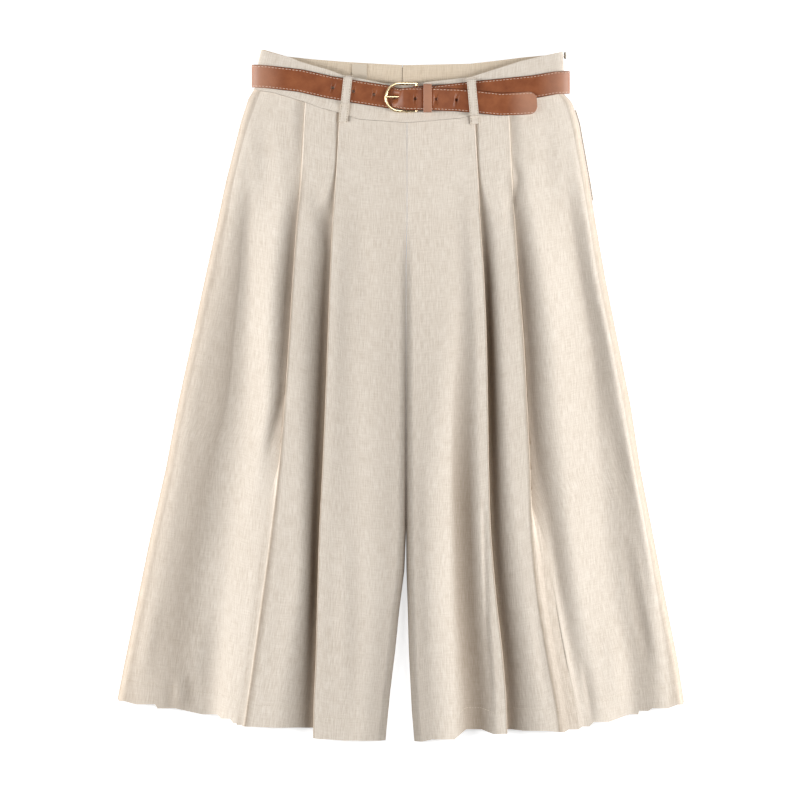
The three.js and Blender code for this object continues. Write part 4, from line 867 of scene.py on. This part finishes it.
def solid_from(name, points, faces, material, uvs=None, sharp=40):
    """A closed piece from points and faces, turned outwards if its volume says it is inside out."""
    mesh = bpy.data.meshes.new(name)
    mesh.from_pydata([tuple(p) for p in points], [], faces)
    if uvs is not None:
        layer = mesh.uv_layers.new(name="strap")
        for loop in mesh.loops:
            layer.data[loop.index].uv = uvs[loop.vertex_index]
    work = bmesh.new()
    work.from_mesh(mesh)
    bmesh.ops.recalc_face_normals(work, faces=work.faces)
    if work.calc_volume(signed=True) < 0:
        bmesh.ops.reverse_faces(work, faces=work.faces)
    work.to_mesh(mesh)
    work.free()
    mesh.materials.append(material)
    mesh.polygons.foreach_set("use_smooth", [True] * len(mesh.polygons))
    mesh.set_sharp_from_angle(angle=math.radians(sharp))
    obj = bpy.data.objects.new(name, mesh)
    scene.collection.objects.link(obj)
    return obj


def cut_with(obj, cutters):
    """Cuts the joined cutters out of obj, and removes them."""
    for cutter in cutters:
        modifier = obj.modifiers.new("cut", "BOOLEAN")
        modifier.operation = "DIFFERENCE"
        modifier.solver = "EXACT"
        modifier.object = cutter
    bpy.context.view_layer.update()
    cut = bpy.data.meshes.new_from_object(obj.evaluated_get(bpy.context.evaluated_depsgraph_get()))
    obj.modifiers.clear()
    obj.data = cut
    for cutter in cutters:
        bpy.data.objects.remove(cutter)


def plug(x, y, z, tilt, radius, tall, sides=20):
    """A short upright cylinder that cuts a punched hole, leaning with the strap."""
    up = Vector((0, 0, 1))
    lean = Vector((-tilt, 0, 1)).normalized().rotation_difference(up).inverted()
    points = []
    for end in (-0.5, 0.5):
        for s in range(sides):
            turn = 2 * math.pi * s / sides
            local = Vector((radius * math.cos(turn), radius * math.sin(turn), end * tall))
            local.rotate(lean)
            points.append((local + Vector((x, y, z))) * MM)
    faces = [(s, (s + 1) % sides, sides + (s + 1) % sides, sides + s) for s in range(sides)]
    faces += [tuple(range(sides))[::-1], tuple(range(sides, 2 * sides))]
    return solid_from("hole_cutter", points, faces, tan_leather)


def box_cutter(low, high):
    corners = [(x, y, z) for x in (low[0], high[0]) for y in (low[1], high[1]) for z in (low[2], high[2])]
    faces = [(0, 1, 3, 2), (4, 6, 7, 5), (0, 4, 5, 1), (2, 3, 7, 6), (0, 2, 6, 4), (1, 5, 7, 3)]
    return solid_from("slot_cutter", [Vector(c) * MM for c in corners], faces, tan_leather)


strap_points, strap_faces, strap_uvs = strap_mesh()
strap = solid_from("stitched_belt_strap", strap_points, strap_faces, tan_leather, strap_uvs)
HOLE_X = [PRONG_HOLE_X + step * PITCH for step in range(-3, 4)]
HOLE_R = 1.7
cutters = []
for hole_x in HOLE_X:
    tilt = float(along(TIP_RUN_Z, hole_x + 0.5) - along(TIP_RUN_Z, hole_x - 0.5))
    hole_y = float(along(TIP_RUN_Y, hole_x))
    hole_z = BAND_TOP + float(along(TIP_RUN_Z, hole_x))
    cutters.append(plug(hole_x, hole_y, hole_z, tilt, HOLE_R, BELT_THICK + 0.4))
# The prong passes through a short slit in the tip's run and a slot in the folded end.
SLITS = [((-9.5, BUCKLE_Y - 1.4, BAND_TOP + 1.5), (-3.2, BUCKLE_Y + 2, BAND_TOP + 8.2)),
         ((BAR_X - 5.5, BUCKLE_Y - 1.3, BAND_TOP + 0.1), (BAR_X + 5.5, BUCKLE_Y + 2.1, BAND_TOP + 8.5))]
cutters += [box_cutter(low, high) for low, high in SLITS]
cut_with(strap, cutters)
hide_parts("belt_strap")
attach(strap, "root")

# The keeper is a folded band of the same leather, sewn into a ring, that holds the belt's tip.
KEEPER = {"low_x": 24, "high_x": 33, "low_y": 310.9, "high_y": 342, "low": 0.3, "high": 11.1, "wall": 1.5,
          "round": 2.4, "edge": 0.35}


def keeper_mesh():
    """A ring with rounded corners and softened edges, swept round the four sides of the strap."""
    outer = []
    inner = []
    corners = ((1, 1), (-1, 1), (-1, -1), (1, -1))
    mid_y = (KEEPER["low_y"] + KEEPER["high_y"]) / 2
    mid_z = BAND_TOP + (KEEPER["low"] + KEEPER["high"]) / 2
    half_y = (KEEPER["high_y"] - KEEPER["low_y"]) / 2
    half_z = (KEEPER["high"] - KEEPER["low"]) / 2
    for q, (sy, sz) in enumerate(corners):
        for s in range(6):
            turn = math.pi / 2 * (q + s / 5)
            for ring, radius in ((outer, KEEPER["round"]), (inner, KEEPER["round"] - KEEPER["wall"])):
                ring.append((mid_y + sy * (half_y - KEEPER["round"]) + radius * math.cos(turn),
                             mid_z + sz * (half_z - KEEPER["round"]) + radius * math.sin(turn)))
    count = len(outer)
    width = KEEPER["high_x"] - KEEPER["low_x"]
    edge = KEEPER["edge"]
    stops = [(0.0, edge), (edge, 0.0), (width - edge, 0.0), (width, edge)]
    points = []
    for x, inset in stops:
        for (oy, oz), (iy, iz) in zip(outer, inner):
            away = Vector((oy - iy, oz - iz)).normalized() * inset
            points.append(Vector((KEEPER["low_x"] + x, oy - away.x, oz - away.y)) * MM)
    for x, inset in reversed(stops):
        for (oy, oz), (iy, iz) in zip(outer, inner):
            away = Vector((oy - iy, oz - iz)).normalized() * inset
            points.append(Vector((KEEPER["low_x"] + x, iy + away.x, iz + away.y)) * MM)
    rings = 8
    faces = []
    for k in range(rings):
        for s in range(count):
            t = (s + 1) % count
            n = (k + 1) % rings
            faces.append((k * count + s, k * count + t, n * count + t, n * count + s))
    return points, faces


keeper_points, keeper_faces = keeper_mesh()
keeper_uvs = [(0, 0.2)] * len(keeper_points)
keeper = solid_from("leather_keeper", keeper_points, keeper_faces, tan_leather, keeper_uvs)
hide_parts("belt_keeper")
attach(keeper, "root")

# ---------------------------------------------------------------- buckle
# A horseshoe buckle die-cast in zinc and plated pale gold, polished. Its rim is a round rod
# with a bead on each arm; the prong is a bent pin that lies on the rim.


def plated(name, colour, roughness):
    """Polished plate on zinc: a bright warm mirror that faint wear blurs unevenly."""
    material, tree, shader = finish_named(name)
    shader.inputs["Metallic"].default_value = 1.0
    spot = add(tree, "ShaderNodeTexCoord")
    wear = add(tree, "ShaderNodeTexNoise", Vector=spot.outputs["Object"], Scale=1 / (2.5 * MM), Detail=3.0)
    rough = add(tree, "ShaderNodeMapRange", Value=wear.outputs["Fac"], i1=0.3, i2=0.7, i3=roughness - 0.05,
                i4=roughness + 0.08)
    tree.links.new(rough.outputs["Result"], shader.inputs["Roughness"])
    tone = add(tree, "ShaderNodeMix", {"data_type": "RGBA"}, i0=wear.outputs["Fac"], i6=paint(colour),
               i7=paint("#f3e2bd"))
    tree.links.new(tone.outputs[2], shader.inputs["Base Color"])
    return material


pale_gold = plated("polished_pale_gold_plate", "#e8cd9c", 0.3)


def rod_mesh(path, radii, sides=20):
    """A round rod through the points of a path, with a radius at each, closed at both ends."""
    points = []
    for k, centre in enumerate(path):
        way = (path[min(k + 1, len(path) - 1)] - path[max(k - 1, 0)]).normalized()
        side = way.cross(Vector((0, 0, 1))).normalized()
        up = side.cross(way)
        for s in range(sides):
            turn = 2 * math.pi * s / sides
            points.append((centre + (side * math.cos(turn) + up * math.sin(turn)) * radii[k]) * MM)
    faces = [(k * sides + s, k * sides + (s + 1) % sides, (k + 1) * sides + (s + 1) % sides,
              (k + 1) * sides + s) for k in range(len(path) - 1) for s in range(sides)]
    faces.append(tuple(range(sides))[::-1])
    faces.append(tuple((len(path) - 1) * sides + s for s in range(sides)))
    return points, faces


def joined(name, pieces, node):
    """Several closed meshes as one piece that stands for a CAD node."""
    for extra in pieces[1:]:
        modifier = pieces[0].modifiers.new("join", "BOOLEAN")
        modifier.operation = "UNION"
        modifier.solver = "EXACT"
        modifier.object = extra
    bpy.context.view_layer.update()
    whole = bpy.data.meshes.new_from_object(pieces[0].evaluated_get(bpy.context.evaluated_depsgraph_get()))
    pieces[0].modifiers.clear()
    pieces[0].data = whole
    whole.set_sharp_from_angle(angle=math.radians(40))
    for extra in pieces[1:]:
        bpy.data.objects.remove(extra)
    pieces[0].name = name
    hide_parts(node)
    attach(pieces[0], "root")


# Each arm steps from the rod to its bead and on to the thinner end that holds the bar.
ARM = [(4.8, 1.45), (5.0, 1.95), (7.1, 1.95), (7.3, 1.2), (10, 1.2), (BAR_X, 1.15)]
rim_path = []
rim_radii = []
for x, radius in reversed(ARM):
    rim_path.append(Vector((x, BUCKLE_Y + HALF_HEIGHT, BUCKLE_Z)))
    rim_radii.append(radius)
for s in range(49):
    turn = math.pi / 2 + math.pi * s / 48
    rim_path.append(Vector((RIM_X + HALF_HEIGHT + HALF_HEIGHT * math.cos(turn),
                            BUCKLE_Y + HALF_HEIGHT * math.sin(turn), BUCKLE_Z)))
    rim_radii.append(ROD - 0.05)
for x, radius in ARM:
    rim_path.append(Vector((x, BUCKLE_Y - HALF_HEIGHT, BUCKLE_Z)))
    rim_radii.append(radius)
rim = solid_from("buckle_rim", *rod_mesh(rim_path, rim_radii), pale_gold)
bar_reach = HALF_HEIGHT + 0.6
bar_path = [Vector((BAR_X, BUCKLE_Y + end * bar_reach, BAR_Z)) for end in (-1, 1)]
bar = solid_from("buckle_bar", *rod_mesh(bar_path, [ROD - 0.05] * 2), pale_gold)
joined("horseshoe_buckle", [rim, bar], "buckle_frame")

PRONG_EYE = 2.75
PRONG_R = 1.05
PRONG_Y = BUCKLE_Y + 0.4
prong_rim_z = BUCKLE_Z + ROD + 0.3 + 1.1
prong_path = [Vector((x, PRONG_Y, z)) for x, z in (
    (RIM_X - 1.6, prong_rim_z - 0.6), (RIM_X - 0.8, prong_rim_z - 0.15), (RIM_X + 1, prong_rim_z),
    (BAR_X - PRONG_EYE, BUCKLE_Z + 1.3))]
shank = solid_from("prong_shank", *rod_mesh(prong_path, [0.45, 0.85, PRONG_R, PRONG_R]), pale_gold)
eye_path = [Vector((BAR_X + PRONG_EYE * math.cos(2 * math.pi * s / 32), PRONG_Y,
                    BAR_Z + PRONG_EYE * math.sin(2 * math.pi * s / 32))) for s in range(32)]


def ring_mesh(path, radius, axis, sides=14):
    """A round rod along a closed path that lies square to an axis."""
    points = []
    count = len(path)
    for k, centre in enumerate(path):
        way = (path[(k + 1) % count] - path[k - 1]).normalized()
        out = way.cross(axis)
        for s in range(sides):
            turn = 2 * math.pi * s / sides
            points.append((centre + (axis * math.cos(turn) + out * math.sin(turn)) * radius) * MM)
    faces = [(k * sides + s, k * sides + (s + 1) % sides, ((k + 1) % count) * sides + (s + 1) % sides,
              ((k + 1) % count) * sides + s) for k in range(count) for s in range(sides)]
    return points, faces


eye = solid_from("prong_eye", *ring_mesh(eye_path, 0.9, Vector((0, 1, 0))), pale_gold)
joined("buckle_pin", [shank, eye], "buckle_prong")

# ---------------------------------------------------------------- belt loops
# Four belt loops of folded cloth tape, 10 mm wide, topstitched along both edges. Each is sewn
# flat to the waistband at its ends and stands off it just enough for the belt.
LOOP_WALL = 1.1
LOOP_WIDE = 9.7
FOOT = 0.3 + 0.6
LOOPS = [
    ("belt_loop_front_right", (-58.5, 351.4), (-64.3, 301), (350.2, 321.2), BAND_TOP + FOOT, BAND_TOP + 3.4),
    ("belt_loop_front_left", (76, 349.6), (80.7, 298.6), (347.2, 308.6), BAND_TOP + FOOT, BAND_TOP + 6),
    ("belt_loop_back_right", (-60, 366.4), (-60, 326.4), (364.2, 335.4), 4 - FOOT, 0.6),
    ("belt_loop_back_left", (66, 364.4), (66, 324.4), (362.4, 333), 4 - FOOT, 0.6),
]


def rounded_line(corners, steps):
    """A line through (along, height, bend) corners, each rounded over its own length."""
    line = [np.array(corners[0][:2], dtype=float)]
    for before, corner, after in zip(corners, corners[1:], corners[2:]):
        middle = np.array(corner[:2], dtype=float)
        back = np.array(before[:2]) - middle
        ahead = np.array(after[:2]) - middle
        bend = min(corner[2], 0.45 * np.linalg.norm(back), 0.45 * np.linalg.norm(ahead))
        enter = middle + back / np.linalg.norm(back) * bend
        leave = middle + ahead / np.linalg.norm(ahead) * bend
        for t in np.linspace(0, 1, steps + 1):
            first = enter + (middle - enter) * t
            line.append(first + (middle + (leave - middle) * t - first) * t)
    line.append(np.array(corners[-1][:2], dtype=float))
    return line


def loop_grid(top, bottom, span, foot_z, over_z):
    """The middle surface of a belt loop, in metres: feet on the band, and a span over the belt."""
    over = 1 if over_z > foot_z else -1
    corners = [(top[1], foot_z, 0), (span[0] + 0.1 * over, foot_z, 1), (span[0] - 0.4, over_z, 1.4),
               (span[1] + 0.4, over_z, 1.4), (span[1] - 1.2, foot_z, 1), (bottom[1], foot_z, 0)]
    line = rounded_line(corners, 6)
    grid = np.zeros((len(line), 9, 3))
    for i, (y, z) in enumerate(line):
        share = (top[1] - y) / (top[1] - bottom[1])
        middle = top[0] + (bottom[0] - top[0]) * share
        for j, across in enumerate(np.linspace(-1, 1, 9)):
            dome = 0.25 * (1 - across**2)
            grid[i, j] = (middle + across * LOOP_WIDE / 2, y, z + (dome if over > 0 else 0))
    return grid * MM


loop_grids = {}
for node, top, bottom, span, foot_z, over_z in LOOPS:
    grid = loop_grid(top, bottom, span, foot_z, over_z)
    loop_grids[node] = grid
    loop = cloth_wall("sewn_" + node, grid, LOOP_WALL * MM, linen_cloth)
    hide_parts(node)
    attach(loop, "root")

# ---------------------------------------------------------------- label and zip
# A blank satin-woven label is sewn inside the back waistband. An invisible zip closes the left
# side seam: only its coil in the seam and its small slider, parked at the top, show.


def satin(name, light, dark):
    """Satin-woven tape: fine threads across it that catch the light a little."""
    material, tree, shader = finish_named(name)
    shader.inputs["Roughness"].default_value = 0.5
    shader.inputs["Sheen Weight"].default_value = 0.2
    spot = add(tree, "ShaderNodeTexCoord")
    stretched = add(tree, "ShaderNodeVectorMath", {"operation": "MULTIPLY"}, i0=spot.outputs["Object"],
                    i1=(1 / (3 * MM), 1 / (0.35 * MM), 1 / (3 * MM)))
    threads = add(tree, "ShaderNodeTexNoise", Vector=stretched.outputs[0], Scale=1.0, Detail=2.0)
    tone = add(tree, "ShaderNodeMix", {"data_type": "RGBA"}, i0=threads.outputs["Fac"], i6=paint(dark),
               i7=paint(light))
    tree.links.new(tone.outputs[2], shader.inputs["Base Color"])
    relief = add(tree, "ShaderNodeBump", Strength=0.3, Distance=0.08 * MM, Height=threads.outputs["Fac"])
    tree.links.new(relief.outputs["Normal"], shader.inputs["Normal"])
    return material


satin_weave = satin("satin_woven_tape", "#e9dcca", "#d5c6b0")
LABEL_Z = 6.2                  # just off the back waistband's inside
label_x, label_y = np.meshgrid(np.linspace(-54.5, -38, 12), np.linspace(365, 348, 12))
label_grid = np.stack([label_x, label_y, np.full_like(label_x, LABEL_Z)], axis=-1)
label = cloth_wall("blank_woven_label", label_grid * MM, 0.6 * MM, satin_weave)
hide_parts("blank_label")
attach(label, "root")

slider_low, slider_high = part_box("zip_slider")
ZIP_LEVELS = np.linspace(314, 215, 100)


def zip_mesh():
    """The zip's coil: one small bead for each turn, run together along the seam."""
    path = []
    radii = []
    for k, y in enumerate(ZIP_LEVELS):
        path.append(Vector((float(along(LEFT["side"], y)) + 1.3, y, float(along(SIDE_RISE, y)) + 0.75)))
        radii.append(0.62 + 0.16 * math.sin(k * math.pi / 1.5))
    return rod_mesh(path, radii, 10)


zip_tape = satin("matching_zip_tape", "#e0d2bf", "#c9b9a2")
coil = solid_from("zip_coil", *zip_mesh(), zip_tape)
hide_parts("side_zip")
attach(coil, "root")

# Tumbled steel: a dull grey with a soft blurred shine.
steel, steel_tree, steel_shader = finish_named("tumbled_steel")
steel_shader.inputs["Metallic"].default_value = 1.0
steel_shader.inputs["Roughness"].default_value = 0.38
steel_spot = add(steel_tree, "ShaderNodeTexCoord")
steel_wear = add(steel_tree, "ShaderNodeTexNoise", Vector=steel_spot.outputs["Object"], Scale=1 / (1.2 * MM))
steel_tone = add(steel_tree, "ShaderNodeMix", {"data_type": "RGBA"}, i0=steel_wear.outputs["Fac"],
                 i6=paint("#6b6459"), i7=paint("#8f877b"))
steel_tree.links.new(steel_tone.outputs[2], steel_shader.inputs["Base Color"])
slider_points, slider_faces = rod_mesh(
    [Vector(((slider_low[0] + slider_high[0]) / 2 / MM, y / MM, (slider_low[2] + slider_high[2]) / 2 / MM))
     for y in np.linspace(slider_low[1], slider_high[1], 9)],
    [0.7, 1.1, 1.4, 1.5, 1.35, 1.2, 1.3, 1.2, 0.7], 12)
slider = solid_from("zip_slider_body", slider_points, slider_faces, steel)
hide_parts("zip_slider")
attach(slider, "root")

# ---------------------------------------------------------------- stitches
# Lockstitch in matching thread on the hems and loops, and cream saddle stitch on the belt. Geometry Nodes
# lay one small thread bead for each stitch along every row.


def thread(name, colour):
    """Spun thread: matt, with its twist as small changes of tone."""
    material, tree, shader = finish_named(name)
    shader.inputs["Roughness"].default_value = 0.7
    spot = add(tree, "ShaderNodeTexCoord")
    twist = add(tree, "ShaderNodeTexNoise", Vector=spot.outputs["Object"], Scale=1 / (0.6 * MM), Detail=2.0)
    tone = add(tree, "ShaderNodeMix", {"data_type": "RGBA"}, i0=twist.outputs["Fac"], i6=paint(colour[0]),
               i7=paint(colour[1]))
    tree.links.new(tone.outputs[2], shader.inputs["Base Color"])
    return material


cloth_thread = thread("matching_thread", ("#cdbfab", "#e6dccb"))
# A darker copy of the matching thread, as painted shade on the loops' topstitching.
shaded_thread = thread("matching_thread_painted_shade", ("#a8977c", "#c9baa2"))
cream_thread = thread("cream_saddle_thread", ("#e9cdb4", "#fff3e4"))


def stitch_tree():
    """Lays a thread bead every Pitch along each curve, Length long and Radius thick."""
    tree = bpy.data.node_groups.new("row_of_stitches", "GeometryNodeTree")
    face = tree.interface
    face.new_socket("Geometry", in_out="INPUT", socket_type="NodeSocketGeometry")
    sizes = {}
    for label_text, value in (("Pitch", 3.0 * MM), ("Length", 2.2 * MM), ("Radius", 0.3 * MM)):
        socket = face.new_socket(label_text, in_out="INPUT", socket_type="NodeSocketFloat")
        socket.default_value = value
        sizes[label_text] = socket.identifier
    finish_socket = face.new_socket("Thread", in_out="INPUT", socket_type="NodeSocketMaterial")
    sizes["Thread"] = finish_socket.identifier
    face.new_socket("Geometry", in_out="OUTPUT", socket_type="NodeSocketGeometry")
    nodes, links = tree.nodes, tree.links
    start = nodes.new("NodeGroupInput")
    curve = nodes.new("GeometryNodeMeshToCurve")
    spaced = nodes.new("GeometryNodeCurveToPoints")
    spaced.mode = "LENGTH"
    bead = nodes.new("GeometryNodeMeshUVSphere")
    bead.inputs["Segments"].default_value = 6
    bead.inputs["Rings"].default_value = 4
    bead.inputs["Radius"].default_value = 1.0
    size = nodes.new("ShaderNodeCombineXYZ")
    half = nodes.new("ShaderNodeMath")
    half.operation = "MULTIPLY"
    half.inputs[1].default_value = 0.5
    laid = nodes.new("GeometryNodeInstanceOnPoints")
    aim = nodes.new("FunctionNodeAlignRotationToVector")
    aim.axis = "Z"
    real = nodes.new("GeometryNodeRealizeInstances")
    finish_node = nodes.new("GeometryNodeSetMaterial")
    end = nodes.new("NodeGroupOutput")
    links.new(start.outputs["Geometry"], curve.inputs["Mesh"])
    links.new(curve.outputs["Curve"], spaced.inputs["Curve"])
    links.new(start.outputs["Pitch"], spaced.inputs["Length"])
    links.new(spaced.outputs["Points"], laid.inputs["Points"])
    links.new(spaced.outputs["Tangent"], aim.inputs["Vector"])
    links.new(aim.outputs["Rotation"], laid.inputs["Rotation"])
    links.new(bead.outputs["Mesh"], laid.inputs["Instance"])
    links.new(start.outputs["Radius"], size.inputs["X"])
    links.new(start.outputs["Radius"], size.inputs["Y"])
    links.new(start.outputs["Length"], half.inputs[0])
    links.new(half.outputs[0], size.inputs["Z"])
    links.new(size.outputs[0], laid.inputs["Scale"])
    links.new(laid.outputs["Instances"], real.inputs["Geometry"])
    links.new(real.outputs["Geometry"], finish_node.inputs["Geometry"])
    links.new(start.outputs["Thread"], finish_node.inputs["Material"])
    links.new(finish_node.outputs["Geometry"], end.inputs["Geometry"])
    return tree, sizes


stitch_nodes, stitch_sockets = stitch_tree()


def stitched(name, rows, stitch, material):
    """Rows of stitches along lists of points in metres, as one plain mesh. A stitch is its pitch,
    its length and its radius in millimetres."""
    points = []
    edges = []
    for row in rows:
        first = len(points)
        points += [tuple(p) for p in row]
        edges += [(first + k, first + k + 1) for k in range(len(row) - 1)]
    mesh = bpy.data.meshes.new(name)
    mesh.from_pydata(points, edges, [])
    obj = bpy.data.objects.new(name, mesh)
    scene.collection.objects.link(obj)
    modifier = obj.modifiers.new("stitches", "NODES")
    modifier.node_group = stitch_nodes
    for size_name, value in zip(("Pitch", "Length", "Radius"), stitch):
        modifier[stitch_sockets[size_name]] = value * MM
    modifier[stitch_sockets["Thread"]] = material
    bpy.context.view_layer.update()
    laid = bpy.data.meshes.new_from_object(obj.evaluated_get(bpy.context.evaluated_depsgraph_get()))
    obj.modifiers.clear()
    obj.data = laid
    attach(obj, "root")
    return obj


def hem_rows(grid, above):
    """Runs of points on a front's face, one hem's depth above its edge, broken at each pleat."""
    unseen = TUCKED + ("recess1", "recess2")
    hidden = [j for j, column in enumerate(front_columns()) if CORNERS[column[1]] in unseen]
    runs = [[]]
    for j in range(2, grid.shape[1] - 2):
        if j in hidden:
            if runs[-1]:
                runs.append([])
            continue
        i = int(np.argmin(np.abs(above[:, j] - HEM_FOLD)))
        runs[-1].append(grid[i, j] + np.array((0, 0, (PANEL / 2 + 0.1) * MM)))
    return [run for run in runs if len(run) > 3]


hem_stitches = hem_rows(right_grid, right_above) + hem_rows(left_grid, left_above)
HEM_STITCH = (3.0, 2.2, 0.28)
stitched("hem_stitching", hem_stitches, HEM_STITCH, cloth_thread)

loop_rows = []
for grid in (loop_grids["belt_loop_front_right"], loop_grids["belt_loop_front_left"]):
    for j in (1, 7):
        loop_rows.append([p + np.array((0, 0, (LOOP_WALL / 2 + 0.08) * MM)) for p in grid[:, j]])
LOOP_STITCH = (2.8, 2.0, 0.28)
stitched("belt_loop_topstitching", loop_rows, LOOP_STITCH, shaded_thread)

STITCH_INSET = 1.8             # mm from the strap's edge to its stitches


def strap_rows():
    """Two runs of points along the strap's outer face, one near each edge."""
    line = belt_line()
    runs = {edge: [] for edge in (-1, 1)}
    for k, (centre, crown) in enumerate(line):
        if (centre - line[0][0]).length < 3.5:
            continue
        after = line[min(k + 1, len(line) - 1)][0]
        before = line[max(k - 1, 0)][0]
        way = (after - before).normalized()
        lean = Vector((way.x, way.y, 0)).normalized() if crown > 0 else way
        side = (Vector((0, 1, 0)) - lean * lean.y).normalized()
        up = side.cross(way).normalized()
        if k < len(line) // 2 and up.z < 0 and centre.z > BAND_TOP:
            up = -up
        for edge in (-1, 1):
            half = BELT_WIDE / 2 - 0.38 * crown - STITCH_INSET
            drop = crown * max(0.0, (half / (BELT_WIDE / 2) - 0.45) / 0.55) ** 1.3
            runs[edge].append((centre + side * (edge * half) + up * (BELT_THICK / 2 + 0.08)
                               - Vector((0, 0, drop))) * MM)
    return [runs[-1], runs[1]]


SADDLE_STITCH = (3.8, 2.8, 0.27)
stitched("belt_saddle_stitching", strap_rows(), SADDLE_STITCH, cream_thread)

# ---------------------------------------------------------------- which lamp lights what
# The near and far softboxes reach the two fronts only, the even ones reach all the rest, and the
# broad one above the waist reaches only the metal.


def light_only(lamp, pieces):
    """Keeps a lamp's light to these pieces."""
    lit = bpy.data.collections.new("lit_by_" + lamp.name)
    for piece in pieces:
        lit.objects.link(piece)
    lamp.light_linking.receiver_collection = lit


fronts = {-1: front_right, 1: front_left}
others = [piece for piece in scene.objects if piece.type == "MESH" and piece not in fronts.values()]
metals = [piece for piece in others if piece.name in ("horseshoe_buckle", "buckle_pin", "zip_slider_body")]
light_only(metal_lamp, metals)
for way, own in fronts.items():
    light_only(lamps[way, "near"], [own])
    light_only(lamps[way, "far"], [fronts[-way]])
    light_only(lamps[way, "even"], others)
